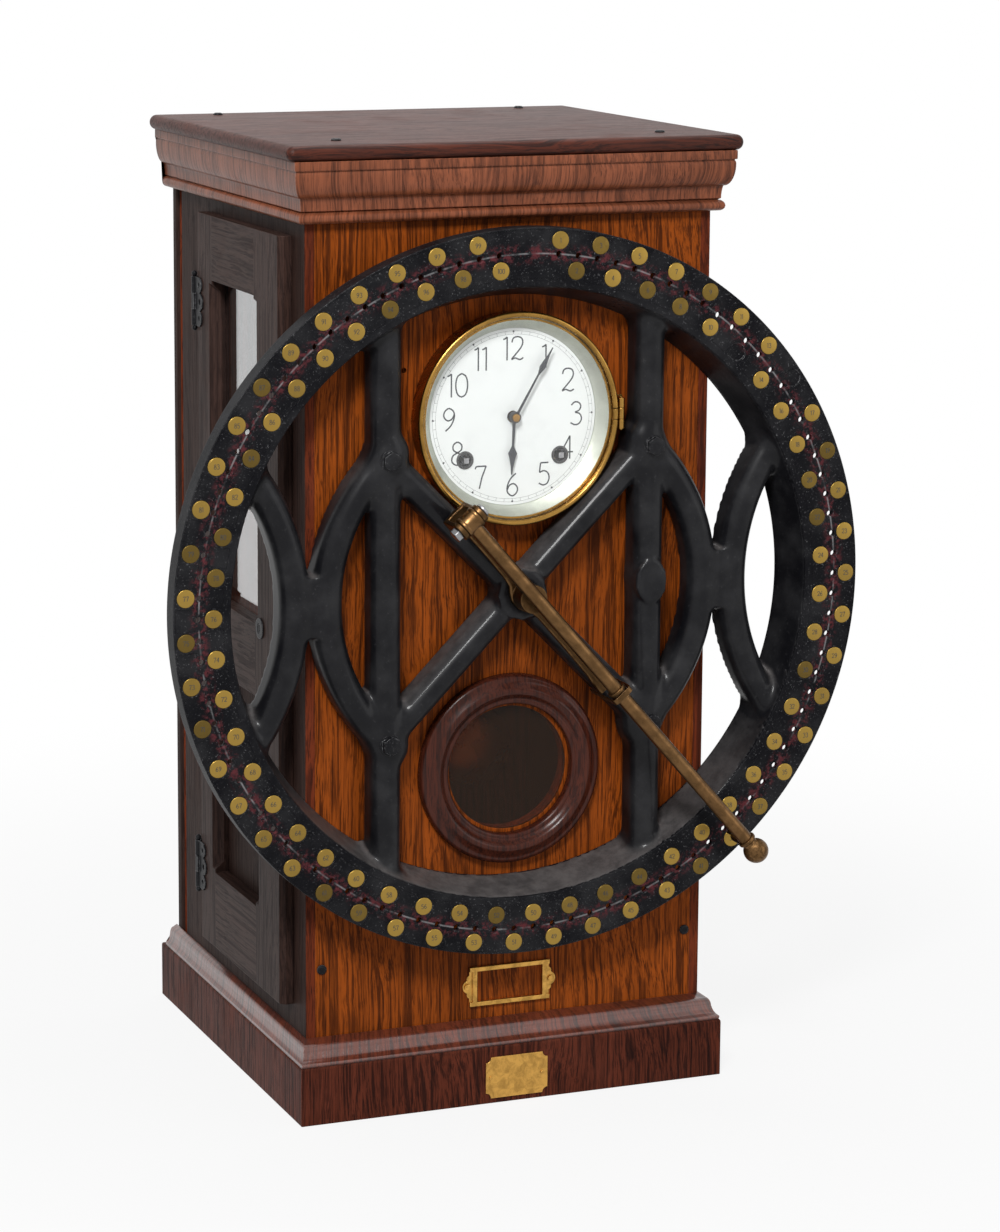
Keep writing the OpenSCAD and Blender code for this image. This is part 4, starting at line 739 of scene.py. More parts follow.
def add(tree, kind, inputs=None, **settings):
    """Adds a shader node, sets its settings and feeds its inputs."""
    item = tree.nodes.new("ShaderNode" + kind)
    for key, value in settings.items():
        setattr(item, key, value)
    feed(tree, item, inputs or {})
    return item


def calc(tree, operation, a, b=0.0, c=0.0, clamp=False):
    """One step of arithmetic."""
    return add(tree, "Math", {0: a, 1: b, 2: c}, operation=operation, use_clamp=clamp).outputs[0]


def scaled(tree, vector, scale):
    """Coordinates times a scale of their own along each axis."""
    return add(tree, "Mapping", {"Vector": vector, "Scale": scale}).outputs[0]


def noise(tree, vector, scale=1.0, detail=3.0, rough=0.5, warp=0.0):
    """Noise of 0 to 1, mostly near a half."""
    inputs = {"Vector": vector, "Scale": scale, "Detail": detail, "Roughness": rough, "Distortion": warp}
    return add(tree, "TexNoise", inputs).outputs[0]


def mixed(tree, share, a, b):
    """Colour a, with a share of colour b in it."""
    return add(tree, "Mix", {0: share, 6: a, 7: b}, data_type="RGBA").outputs[2]


def between(tree, value, low, high, to_low=0.0, to_high=1.0):
    """Value from low to high, smoothly turned into to_low to to_high."""
    inputs = {0: value, 1: low, 2: high, 3: to_low, 4: to_high}
    return add(tree, "MapRange", inputs, interpolation_type="SMOOTHSTEP").outputs[0]


def seen_ray(tree):
    """1 for rays of the camera, of reflections and through glass, 0 for those that light the object."""
    rays = add(tree, "LightPath").outputs
    return calc(tree, "MAXIMUM", rays["Is Camera Ray"],
                calc(tree, "MAXIMUM", rays["Is Glossy Ray"], rays["Is Transmission Ray"]))


def group(name, inputs, outputs):
    """New node group with named sockets: inputs (name, kind, default), outputs (name, kind)."""
    tree = bpy.data.node_groups.new(name, "ShaderNodeTree")
    for title, kind, value in inputs:
        socket = tree.interface.new_socket(title, in_out="INPUT", socket_type="NodeSocket" + kind)
        if value is not None:
            socket.default_value = value
    for title, kind in outputs:
        tree.interface.new_socket(title, in_out="OUTPUT", socket_type="NodeSocket" + kind)
    return tree, tree.nodes.new("NodeGroupInput").outputs, tree.nodes.new("NodeGroupOutput")


def grain_group():
    """Wood grain along the third coordinate: broad bands, long streaks, short flecks, fine pores and a roughness that
    follows the streaks and pores.
    """
    tree, given, out = group("wood_grain", [
        ("Vector", "Vector", None), ("Ground", "Color", (0.5, 0.5, 0.5, 1)), ("Streak", "Color", (0.1, 0.1, 0.1, 1)),
        ("Streaks", "Float", 0.5), ("Pores", "Float", 0.5), ("Broad", "Float", 0.3)],
        [("Color", "Color"), ("Height", "Float"), ("Roughness", "Float")])
    v = given["Vector"]
    wave = calc(tree, "SUBTRACT", noise(tree, scaled(tree, v, (7, 7, 2.6)), 1.0, 3, 0.5, 0.4), 0.5)
    wave = calc(tree, "MULTIPLY", wave, 0.05)
    shift = add(tree, "CombineXYZ", {0: wave, 1: wave}).outputs[0]
    bent = add(tree, "VectorMath", {0: v, 1: shift}, operation="ADD").outputs[0]
    streak = noise(tree, scaled(tree, bent, (300, 300, 5.0)), 1.0, 4, 0.62, 0.3)
    fleck = noise(tree, scaled(tree, bent, (640, 640, 17)), 1.0, 3, 0.6, 0.5)
    pore = noise(tree, scaled(tree, bent, (1000, 1000, 62)), 1.0, 2, 0.5)
    band = noise(tree, scaled(tree, bent, (44, 44, 1.4)), 1.0, 2, 0.5)
    dark = calc(tree, "MULTIPLY", between(tree, streak, 0.46, 0.62), given["Streaks"])
    short = calc(tree, "MULTIPLY", between(tree, fleck, 0.50, 0.62), given["Streaks"])
    slits = calc(tree, "MULTIPLY", between(tree, pore, 0.55, 0.70), given["Pores"])
    tone = given["Ground"]
    for share in (dark, calc(tree, "MULTIPLY", short, 0.8), slits):
        tone = mixed(tree, share, tone, given["Streak"])
    patch = noise(tree, scaled(tree, v, (6, 6, 3)), 1.0, 2)
    uneven = calc(tree, "SUBTRACT", calc(tree, "ADD", patch, band), 1.0)
    shade = calc(tree, "MULTIPLY_ADD", uneven, calc(tree, "MULTIPLY", given["Broad"], 2.2), 1.0)
    feed(tree, out, {
        "Color": add(tree, "VectorMath", {0: tone, "Scale": shade}, operation="SCALE").outputs[0],
        "Height": calc(tree, "SUBTRACT", calc(tree, "MULTIPLY", fleck, 0.3), slits),
        "Roughness": calc(tree, "MULTIPLY", calc(tree, "ADD", slits, dark), 0.12)})
    return tree


def wear_group():
    """Mask of worn edges: how far a rounded normal turns from the flat one, broken up by noise."""
    tree, given, out = group("edge_wear", [
        ("Vector", "Vector", None), ("Width", "Float", 0.0012), ("Scale", "Float", 260.0), ("Amount", "Float", 0.6)],
        [("Mask", "Float"), ("Normal", "Vector")])
    soft = add(tree, "Bevel", {"Radius": given["Width"]}, samples=6).outputs[0]
    flat = add(tree, "NewGeometry").outputs["Normal"]
    same = add(tree, "VectorMath", {0: soft, 1: flat}, operation="DOT_PRODUCT").outputs["Value"]
    edge = between(tree, calc(tree, "SUBTRACT", 1.0, same), 0.01, 0.16)
    chips = between(tree, noise(tree, given["Vector"], given["Scale"], 4, 0.7), 0.40, 0.62)
    mask = calc(tree, "MULTIPLY", calc(tree, "MULTIPLY", edge, chips), given["Amount"], clamp=True)
    feed(tree, out, {"Mask": mask, "Normal": soft})
    return tree


def tarnish_group():
    """Metal between bright and dull: cloudy patches and small spots, with their own roughness."""
    tree, given, out = group("tarnish", [
        ("Vector", "Vector", None), ("Bright", "Color", (0.8, 0.6, 0.3, 1)), ("Dull", "Color", (0.2, 0.14, 0.08, 1)),
        ("Amount", "Float", 0.5), ("Scale", "Float", 60.0)],
        [("Color", "Color"), ("Roughness", "Float"), ("Height", "Float")])
    cloud = noise(tree, given["Vector"], given["Scale"], 5, 0.6, 0.6)
    fine = noise(tree, given["Vector"], calc(tree, "MULTIPLY", given["Scale"], 9.0), 2, 0.6)
    spots = calc(tree, "MULTIPLY", between(tree, fine, 0.56, 0.72), 0.5)
    mask = calc(tree, "ADD", between(tree, cloud, 0.36, 0.66), spots)
    mask = calc(tree, "MULTIPLY", mask, given["Amount"], clamp=True)
    feed(tree, out, {"Color": mixed(tree, mask, given["Bright"], given["Dull"]),
                     "Roughness": calc(tree, "MULTIPLY", mask, 0.28), "Height": calc(tree, "MULTIPLY", cloud, 0.3)})
    return tree


def speck_group():
    """Black paint on iron: pits that catch light, bare specks, and rust where the rust mask is high."""
    tree, given, out = group("iron_specks", [
        ("Vector", "Vector", None), ("Paint", "Color", (0.02, 0.02, 0.02, 1)), ("Bare", "Color", (0.4, 0.4, 0.4, 1)),
        ("Rust", "Color", (0.1, 0.03, 0.03, 1)), ("Rusty", "Float", 0.0), ("Specks", "Float", 0.5),
        ("Scale", "Float", 700.0)],
        [("Color", "Color"), ("Roughness", "Float"), ("Height", "Float")])
    pits = noise(tree, given["Vector"], given["Scale"], 3, 0.7)
    cloud = noise(tree, given["Vector"], 28.0, 4, 0.6)
    stains = between(tree, noise(tree, given["Vector"], 190.0, 4, 0.7), 0.46, 0.64)
    bare = calc(tree, "MULTIPLY", between(tree, pits, 0.60, 0.74), given["Specks"])
    tone = mixed(tree, between(tree, cloud, 0.35, 0.8, 0.0, 0.05), given["Paint"], given["Bare"])
    tone = mixed(tree, bare, tone, given["Bare"])
    rust = calc(tree, "MULTIPLY", given["Rusty"], stains)
    feed(tree, out, {"Color": mixed(tree, rust, tone, given["Rust"]), "Height": pits,
                     "Roughness": calc(tree, "MULTIPLY_ADD", cloud, 0.16, calc(tree, "MULTIPLY", rust, 0.3))})
    return tree


EFFECTS = {"wood_grain": grain_group, "edge_wear": wear_group, "tarnish": tarnish_group, "iron_specks": speck_group}


def use(tree, name, inputs):
    """Places a shared effect in a material with its own values."""
    item = tree.nodes.new("ShaderNodeGroup")
    item.node_tree = bpy.data.node_groups.get(name) or EFFECTS[name]()
    feed(tree, item, inputs)
    return item.outputs


def start(name):
    """New material with a Principled shader, and its object coordinates."""
    material = bpy.data.materials.new(name)
    material.use_nodes = True
    tree = material.node_tree
    shader = tree.nodes["Principled BSDF"]
    return material, tree, shader, add(tree, "TexCoord").outputs


def bumped(tree, height, strength, distance, normal=None):
    """Normal tilted by the slope of a height."""
    inputs = {"Height": height, "Strength": strength, "Distance": distance}
    if normal is not None:
        inputs["Normal"] = normal
    return add(tree, "Bump", inputs).outputs[0]


def link(tree, shader, **inputs):
    """Feeds a shader's inputs, whose names are written with _ for a space."""
    feed(tree, shader, {key.replace("_", " "): value for key, value in inputs.items()})


def lighter(colour, times, plus):
    """Colour of a worn place: brighter and a little paler."""
    return tuple(min(1.0, c * times + plus) for c in colour[:3]) + (1,)


def wood(name, ground, streak, along, streaks, pores, broad, rough, gloss, worn, bump, level, front=None):
    """Varnished wood. along: x or z for the grain's direction, chart for grain along a piece's own chart, or
    door for upright stiles with level rails between them. front: another ground for the faces that look forward."""
    material, tree, shader, coords = start(name)
    v = place_at = coords["Object"]
    x, y, z = add(tree, "SeparateXYZ", {0: coords["UV"] if along == "chart" else place_at}).outputs
    orders = {"chart": (y, 0.3, x), "x": (z, y, x), "door": (x, z, y)}
    if along in orders:
        v = add(tree, "CombineXYZ", dict(enumerate(orders[along]))).outputs[0]
    if along == "door":
        from_rail = calc(tree, "ABSOLUTE", calc(tree, "ADD", y, 0.0225))
        rail = calc(tree, "LESS_THAN", from_rail, 0.0605)
        v = add(tree, "Mix", {0: rail, 4: place_at, 5: v}, data_type="VECTOR").outputs[1]
    base = ground
    if front is not None:
        facing = add(tree, "SeparateXYZ", {0: coords["Normal"]}).outputs[1]
        base = mixed(tree, calc(tree, "LESS_THAN", facing, -0.8), ground, front)
    grain = use(tree, "wood_grain", {"Vector": v, "Ground": base, "Streak": streak, "Streaks": streaks,
                                     "Pores": pores, "Broad": broad})
    wear = use(tree, "edge_wear", {"Vector": place_at, "Width": 0.0015, "Amount": worn})
    light = lighter(ground, 2.2, 0.02)
    haze = between(tree, noise(tree, place_at, 13.0, 5, 0.62), 0.52, 0.8, 0.0, 0.10)
    link(tree, shader, Base_Color=mixed(tree, wear["Mask"], mixed(tree, haze, grain["Color"], light), light),
         Roughness=calc(tree, "ADD", calc(tree, "MULTIPLY_ADD", haze, 0.9, rough), grain["Roughness"]),
         Specular_IOR_Level=level, Coat_Weight=gloss, Coat_Roughness=0.22,
         Normal=bumped(tree, grain["Height"], bump, 0.0003, wear["Normal"]))
    return material


def hole_marks(tree, place_at):
    """Rust mask and bright-line mask round the circle of holes, by the distance from it."""
    x, _, z = add(tree, "SeparateXYZ", {0: place_at}).outputs
    z = calc(tree, "SUBTRACT", z, RING_Z / 1000)
    radius = calc(tree, "SQRT", calc(tree, "ADD", calc(tree, "POWER", x, 2.0), calc(tree, "POWER", z, 2.0)))
    off = calc(tree, "ABSOLUTE", calc(tree, "SUBTRACT", radius, mm("hole_radius") / 1000))
    broken = between(tree, noise(tree, place_at, 55.0, 3, 0.6), 0.38, 0.6)
    line = calc(tree, "MULTIPLY", between(tree, off, 0.0011, 0.0003), broken)
    return between(tree, off, 0.0115, 0.002), calc(tree, "MULTIPLY", line, 0.45)


def iron(name, rusty, rough, specks, bump, worn, scale, dusty, gloss, level):
    """Black iron: rough paint with pits, bright worn edges, grey on faces that look up that is partly dust and partly a
    painted sheen of the light from above, and on the ring's face rust round the circle of holes."""
    material, tree, shader, coords = start(name)
    place_at, bare = coords["Object"], paint("iron_worn")
    rust, line = hole_marks(tree, place_at) if rusty else (0.0, 0.0)
    speck = use(tree, "iron_specks", {"Vector": place_at, "Paint": paint("iron"), "Bare": bare, "Rust": paint("rust"),
                                      "Rusty": rust, "Specks": specks, "Scale": scale})
    wear = use(tree, "edge_wear", {"Vector": place_at, "Width": 0.0014, "Amount": worn, "Scale": 420.0})
    tone = mixed(tree, wear["Mask"], speck["Color"], bare)
    if rusty:
        tone = mixed(tree, line, tone, bare)
    # Faces that look up are mixed towards grey: partly dust, partly a painted sheen of the light from above.
    if dusty:
        upward = add(tree, "SeparateXYZ", {0: coords["Normal"]}).outputs[2]
        cloud = between(tree, noise(tree, place_at, 70.0, 5, 0.7), 0.3, 0.7, 0.45, 1.0)
        dust = calc(tree, "MULTIPLY", between(tree, upward, 0.35, 0.95), cloud)
        tone = mixed(tree, calc(tree, "MULTIPLY", dust, dusty), tone, paint("dust"))
    link(tree, shader, Base_Color=tone, Specular_IOR_Level=level, Coat_Weight=gloss, Coat_Roughness=0.1,
         Metallic=calc(tree, "MULTIPLY", wear["Mask"], 0.6), Roughness=calc(tree, "ADD", speck["Roughness"], rough),
         Normal=bumped(tree, speck["Height"], bump, 0.0004, wear["Normal"]))
    return material


def metal(name, bright, dull, amount, scale, rough, bump, worn, toned=False):
    """Bare metal with tarnish; toned lets the tone attribute choose between bright and dull for each disc."""
    material, tree, shader, coords = start(name)
    place_at = coords["Object"]
    if toned:
        tone = add(tree, "Attribute", attribute_name="tone").outputs["Fac"]
        amount = between(tree, tone, 0.3, 0.95, 0.1, 0.95)
    patina = use(tree, "tarnish", {"Vector": place_at, "Bright": bright, "Dull": dull, "Amount": amount,
                                   "Scale": scale})
    wear = use(tree, "edge_wear", {"Vector": place_at, "Width": 0.0009, "Amount": worn})
    base = patina["Color"]
    if toned:
        base = mixed(tree, calc(tree, "MULTIPLY", patina["Roughness"], 1.2), mixed(tree, amount, bright, dull), dull)
    link(tree, shader, Base_Color=mixed(tree, wear["Mask"], base, lighter(bright, 1.5, 0.05)), Metallic=1.0,
         Roughness=calc(tree, "ADD", patina["Roughness"], rough),
         Normal=bumped(tree, patina["Height"], bump, 0.0003, wear["Normal"]))
    return material


def enamel(name, base, rough, gloss, mottle):
    """Painted or printed surface with faint age spots."""
    material, tree, shader, coords = start(name)
    spots = between(tree, noise(tree, coords["Object"], 48.0, 5, 0.65), 0.5, 0.8, 0.0, mottle)
    fine = noise(tree, coords["Object"], 900.0, 2)
    link(tree, shader, Base_Color=mixed(tree, spots, base, shaded(base, 0.55)), Coat_Weight=gloss,
         Coat_Roughness=0.1, Roughness=calc(tree, "MULTIPLY_ADD", spots, 1.5, rough),
         Normal=bumped(tree, fine, 0.05, 0.0004))
    return material


def pane(name, tone, smudge, gloss, weight, index):
    """Flat glass with faint smudges. Its alpha lets the lamps' light through, and the light that scatters behind it
    out again, so that what lies behind is lit."""
    material, tree, shader, coords = start(name)
    film = between(tree, noise(tree, coords["Object"], 26.0, 5, 0.65), 0.5, 0.85, 0.0, 1.0)
    rays = add(tree, "LightPath").outputs
    lit = calc(tree, "SUBTRACT", 1.0, calc(tree, "MAXIMUM", rays["Is Shadow Ray"], rays["Is Diffuse Ray"]))
    link(tree, shader, Base_Color=mixed(tree, calc(tree, "MULTIPLY", film, 0.12), tone, shaded(tone, 0.6)),
         Roughness=calc(tree, "MULTIPLY", film, smudge) if smudge else 0, Transmission_Weight=weight,
         IOR=index, Coat_Weight=gloss, Coat_Roughness=0.0, Alpha=lit)
    return material


# A row holds the maker of a finish and the maker's values in order. A pair such as ("brass", 0.6) is a colour of the
# panel at a share of its lightness.
FINISHES = {
    # ground, streak, along, streaks, pores, broad, rough, gloss, worn, bump, level, front
    "oak_board": (wood, ("oak", 1), ("oak_streak", 1), "z", 0.8, 0.5, 0.4, 0.36, 0, 0.15, 0.4, 0.05),
    "crown_wood": (wood, ("crown_wood", 1), ("dark_streak", 1), "chart", 0.5, 0.5, 0.35, 0.3, 0.15, 0.5, 0.5, 0.08),
    "base_wood": (wood, ("dark_wood", 1.3), ("dark_streak", 1), "chart", 0.7, 0.5, 0.35, 0.3, 0.9, 0.6, 0.5, 0.5),
    "plinth_wood": (wood, ("dark_wood", 0.9), ("dark_streak", 0.6), "chart", 0.75, 0.6, 0.35, 0.42, 0, 0.6, 0.5, 0.05),
    "dark_x": (wood, ("dark_wood", 0.6), ("dark_streak", 0.6), "x", 0.7, 0.6, 0.35, 0.42, 0, 0.45, 0.5, 0.16),
    "dark_turned": (wood, ("dark_wood", 0.55), ("dark_streak", 0.5), "z", 0.6, 0.35, 0.25, 0.2, 0.25, 0.5, 0.5, 0.05),
    "side_board": (wood, ("side_wood", 0.4), ("side_streak", 0.5), "z", 0.6, 0.55, 0.3, 0.45, 0, 0.3, 0.5, 0.03,
                   ("strip_wood", 1)),
    "door_wood": (wood, ("side_wood", 0.5), ("side_streak", 0.6), "door", 0.65, 0.6, 0.3, 0.42, 0, 0.4, 0.5, 0.05),
    # rusty, rough, specks, bump, worn, scale, dusty, gloss, level
    "iron_face": (iron, True, 0.34, 0.38, 0.6, 0.7, 620, 0, 0, 0.05),
    # The casting's grey on faces that look up is partly dust and partly a painted sheen of the light from above.
    "iron_casting": (iron, False, 0.3, 0.05, 0.16, 0, 300, 0.3, 0.12, 0.1),
    "iron_fitting": (iron, False, 0.28, 0.2, 0.3, 0.5, 500, 0, 0, 0.1),
    # bright, dull, amount, scale, rough, bump, worn, toned
    "brass_bezel": (metal, ("brass", 0.6), ("brass", 0.2), 0.5, 34, 0.2, 0.1, 0.2),
    "brass_plate": (metal, ("brass", 1), ("brass", 0.3), 0.55, 120, 0.3, 0.25, 0.5),
    "brass_disc": (metal, ("disc_brass", 0.42), ("disc_dull", 0.36), 0.5, 160, 0.36, 0.2, 0.2, True),
    "brass_arm": (metal, ("arm_brass", 1), ("arm_brass", 0.4), 0.6, 70, 0.3, 0.2, 0.3),
    "brass_knob": (metal, ("arm_brass", 1), ("arm_brass", 0.35), 0.8, 260, 0.34, 0.7, 0.3),
    "brass_bracket": (metal, ("arm_brass", 0.8), ("arm_brass", 0.3), 0.7, 90, 0.3, 0.3, 0.3),
    "steel_part": (metal, ("steel", 1), ("steel", 0.4), 0.4, 90, 0.28, 0.15, 0.3),
    "silver_ring": (metal, ("silver", 1), ("silver", 0.6), 0.4, 40, 0.3, 0.1, 0.1),
    # base, rough, gloss, mottle
    "dial_paint": (enamel, ("dial", 1), 0.42, 0.1, 0.08),
    "dial_ink": (enamel, ("ink", 1), 0.5, 0, 0.06),
    "hand_steel": (enamel, ("hand", 1), 0.3, 0.4, 0.06),
    # Near-black of the cups round the winding arbors: painted shade of the recess round each arbor.
    "eyelet_black": (enamel, (0.012, 0.012, 0.012, 1), 0.25, 0.5, 0.06),
    # tone, smudge, gloss, weight, index
    "dial_pane": (pane, (1, 1, 1, 1), 0, 0, 1, 1.5),
    "door_pane": (pane, (0.95, 0.96, 0.98, 1), 0.03, 1, 1, 1.5),
    "smoked_glass": (pane, (0.30, 0.16, 0.09, 1), 0, 0, 0.97, 1.2),
}


def finish(name):
    """The named material, made at its first use."""
    maker, *row = FINISHES[name]
    values = [paint(*value) if isinstance(value, tuple) and len(value) == 2 else value for value in row]
    return bpy.data.materials.get(name) or maker(name, *values)


# Operators

class CLOCK_OT_case(bpy.types.Operator):
    """Finishes the boards of the case that keep their solid shape"""
    bl_idname = "clock.case"
    bl_label = "Case boards"

    def execute(self, context):
        dress("oak_board", "front_board")
        dress("side_board", "side_frame_left", "side_board_right", "back_board")
        dress("dark_x", "bottom_board")
        dress("iron_fitting", "top_screws", "front_screws")
        return {"FINISHED"}


class CLOCK_OT_plinth(bpy.types.Operator):
    """Plinth boards, mitred, with soft upper edges"""
    bl_idname = "clock.plinth"
    bl_label = "Plinth"

    def execute(self, context):
        low, high = box_mm("plinth")

        def corner(share, z, k):
            """Corner k of the plinth, a share inside it."""
            x = high[0] - share if k in (0, 1) else low[0] + share
            y = low[1] + share if k in (1, 2) else high[1] - share
            return np.stack([x, y, z], -1)
        thick = 20
        profile = softened([(0, 0), (0, high[2]), (thick, high[2]), (thick, 0)], (0.8, 2.5, 0.6, 0.6))
        parts = strips(profile, corner, True)
        parts += block((low[0] + thick - 2, -10, 0), (high[0] - thick + 2, 10, high[2] - 0.5), 0.8)
        show("plinth_boards", parts, "plinth_wood", replaces=["plinth"])
        return {"FINISHED"}


def height_of(node):
    """Height of a solid, in millimetres."""
    low, high = box_mm(node)
    return high[2] - low[2]


def base_outline():
    """Base moulding from its foot up: a round lower edge, a steep hollow, a large round and a sloping top."""
    h = height_of("base_moulding") / 20
    return np.vstack([
        [(0.0, 0.0), (0.985, 0.0)], arc(0, 0, 1, -60, 60, 6) * [0.07, 1.75 * h] + [0.93, 1.9 * h],
        [(0.92, 3.7 * h), (0.84, 4.4 * h), (0.74, 6.4 * h), (0.665, 9 * h), (0.65, 10.2 * h)],
        arc(0, 0, 1, 0, 90) * [0.27, 7.2 * h] + [0.36, 10.6 * h],
        [(0.33, 18.0 * h), (0.08, 19.9 * h), (0.0, 20 * h)]])


def crown_outline():
    """Crown moulding from its foot up: a bead, a shallow cove, a large ovolo and a fillet."""
    h = height_of("crown_moulding")
    s = np.linspace(0, 1, 6)
    upper = [(0.94, 0.815), (0.90, 0.835), (0.90, 0.858), (0.985, 0.858), (1.0, 0.872), (1.0, 0.985), (0.99, 1), (0, 1)]
    return np.vstack([
        [(0, 0)], arc(0, 0, 1, -90, 90, 9) * [0.29, 0.09] + [0.28, 0.10],
        np.column_stack([0.40 + 0.07 * s ** 2, 0.215 + 0.195 * s]),
        arc(0, 0, 1, -90, 0, 12) * [0.46, 0.36] + [0.49, 0.78], upper]) * [1, h]


class CLOCK_OT_mouldings(bpy.types.Operator):
    """Base moulding and crown moulding, as profiles carried round three sides"""
    bl_idname = "clock.mouldings"
    bl_label = "Mouldings"

    def execute(self, context):
        moulding("base_moulding_strips", "base_moulding", base_outline(), "base_wood")
        moulding("crown_moulding_strips", "crown_moulding", crown_outline(), "crown_wood")
        return {"FINISHED"}


class CLOCK_OT_top(bpy.types.Operator):
    """Top board with half-round edges"""
    bl_idname = "clock.top"
    bl_label = "Top board"

    def execute(self, context):
        low, high = box_mm("top_board")
        show("top_board_slab", block(low, high, 6.9, 6), "dark_x", replaces=["top_board"])
        return {"FINISHED"}


class CLOCK_OT_door(bpy.types.Operator):
    """Side door with its glass, panel, hinges and lock"""
    bl_idname = "clock.door"
    bl_label = "Side door"

    def execute(self, context):
        dress("door_wood", "side_door_frame")
        dress("side_board", "side_door_panel")
        dress("door_pane", "side_door_glass")
        dress("iron_fitting", "door_hinge_case_leaves", "door_hinge_door_leaves", "door_hinge_pins",
              "door_lock_ring", "door_lock_plug")
        return {"FINISHED"}


class CLOCK_OT_ring(bpy.types.Operator):
    """Face of the numbered ring with its holes and seats"""
    bl_idname = "clock.ring"
    bl_label = "Numbered ring"

    def execute(self, context):
        show("ring_face", ring_face_parts(), "iron_face", replaces=["number_ring", "ring_wall"],
             sharp=55)
        return {"FINISHED"}


def bolt_parts(x, z):
    """Washer and domed hexagon head of one of the ring's bolts."""
    at = on_front(x, RING_Z + z)
    washer = soft_turned(oblong(0, 10, 33, 35), (0, 0.6, 0.6, 0), at, 32)
    return washer + hexagon_head(7.5, [20, 20, 20, 8.3, 7.6, 5, 2.4, 0],
                                 [34.8, 35.2, 39.0, 39.6, 40.0, 40.7, 41.0, 41.0], at)


class CLOCK_OT_casting(bpy.types.Operator):
    """Bars, arms, hub and wall of the ring as one casting with fillets"""
    bl_idname = "clock.casting"
    bl_label = "Ring casting"

    def execute(self, context):
        reach, low, high = 290.0, -3, 45
        step_across, step_deep = 2.8, 2.4
        across, deep = int(2 * reach / step_across) + 1, int((high - low) / step_deep) + 1
        points, quads = skin(casting, (-reach, -reach, low), (reach, reach, high), (across, across, deep))
        parts = outward(charted(put(points, on_front(0, RING_Z)), quads, [0, 2]))
        show("ring_casting", parts, "iron_casting", replaces=["ring_spider"], sharp=180)
        bolts = [part for x in (-BOLT_X, BOLT_X) for z in (-BOLT_Z, BOLT_Z) for part in bolt_parts(x, z)]
        show("ring_bolt_heads", bolts, "iron_fitting", replaces=["ring_bolts"], sharp=35)
        dress("brass_bezel", "shaft_bush")
        return {"FINISHED"}


class CLOCK_OT_discs(bpy.types.Operator):
    """Number discs with their stamped numbers"""
    bl_idname = "clock.discs"
    bl_label = "Number discs"

    def execute(self, context):
        at, floor, half, count = on_front(0, RING_Z), mm("face_out") - 1.2, mm("disc_width") / 2, 20
        numbers = np.array([k for k in range(1, 101) if k not in LOST])
        radius = np.where(numbers % 2 == 1, mm("odd_radius"), mm("even_radius"))
        middle = polar(radius, place_angle(numbers), floor)
        profile = np.array([(0, 0), (half, 0), (half, 1.25), (half - 0.35, 1.62), (half - 1.2, 1.72), (0, 1.8)])
        one = revolved(profile[:, :1], profile[:, 1:], full_turn(count))
        faces = repeated(grid_faces(len(profile), count, False, True), len(profile) * count, len(numbers))
        points = put((middle[:, None, None] + one).reshape(-1, 3), at)
        tones = np.random.default_rng(7).random(len(numbers)) ** 1.3
        world = put(middle, at)

        def tone(corners):
            """Each point takes the value of the disc that it is nearest to."""
            near = ((corners[:, None, [0, 2]] - world[None, :, [0, 2]]) ** 2).sum(2).argmin(1)
            return tones[near]
        show("ring_number_discs", outward(charted(points, faces, [0, 2])), "brass_disc", replaces=["number_discs"],
             values=tone)
        parts = []
        for number, spot in zip(numbers, middle):
            for line in written(str(number), mm("digit_height"), 0.5, 1.55, 1.86, 1.0):
                parts += placed_surface(line + spot, at, wrap_columns=True, caps=True)
        show("disc_numbers", parts, "dial_ink")
        return {"FINISHED"}


def bracket_parts():
    """Bracket: a flat bar, wider at the hub, the hub disc, two ears and the collar's stirrup. The bar's section is a
    circle whose cosine and sine are raised to 0.45 with their signs kept, which gives flats with round edges."""
    base, thick, ear = 34.5, 5.8, 11.2
    at = on_pointer()
    along = np.array([-105, -99, -88, -50, -26, -17, -12, -6, 0, 6, 12, 17, 26, 60, 100, 108, 122.0])
    half = np.array([5.5, 6.0, 5.0, 4.3, 4.6, 6.0, 9.6, 12.4, 13.0, 12.4, 9.6, 6.0, 4.6, 4.2, 4.4, 5.4, 5.4])
    x = np.interp(np.linspace(0, 1, 90), np.linspace(0, 1, len(along)), along)
    wide = np.interp(x, along, half)[:, None]
    section = arc(0, 0, 1, 0, 345, 24)
    section = np.sign(section) * np.abs(section) ** 0.45
    height = base + thick / 2 * (1 + section[:, 1])
    points = np.stack(np.broadcast_arrays(x[:, None], wide * section[:, 0], height), -1)
    parts = placed_surface(points, at, wrap_columns=True, caps=True)
    parts += turned(softened([(3.2, 40), (3.2, 59.6), (12.9, 59.6), (12.9, 40)], (0.4, 0.4, 0.9, 0.2)), at, 48)
    for side in (-ear, ear):
        parts += turned(softened(oblong(4.1, 9.0, -2.3, 2.3), (0.2, 0.8, 0.8, 0.2)), on_hinge(side), 40)
        parts += moved(block((-104.6, side - 2.3, base), (-93.4, side + 2.3, 62.0), 1.0), at)
    parts += moved(block((-104.8, -13.4, base), (-93.2, 13.4, base + thick), 1.2), at)
    return parts + stirrup_parts(base)


def stirrup_parts(base):
    """Stirrup: a flat strip carried round the collar, up one side, over it and down the other."""
    top = HINGE[1] + 213 * math.tan(LEAN) + 9.6

    def hoop(half, height, radius):
        """One edge of the strip, with two round corners."""
        corners = [(-half, base + 2), (-half, height), (half, height), (half, base + 2)]
        return softened(corners, (0, radius, radius, 0), closed=False, steps=7)
    outer, inner = hoop(10.6, top + 0.6, 5.0), hoop(9.4, top - 0.6, 4.2)
    edges = ((outer, 111.4), (outer, 116.6), (inner, 116.6), (inner, 111.4))
    rows = [np.column_stack([np.full(len(path), x), path]) for path, x in edges]
    return placed_surface(np.stack(rows, 1), on_pointer(), wrap_columns=True, caps=True)


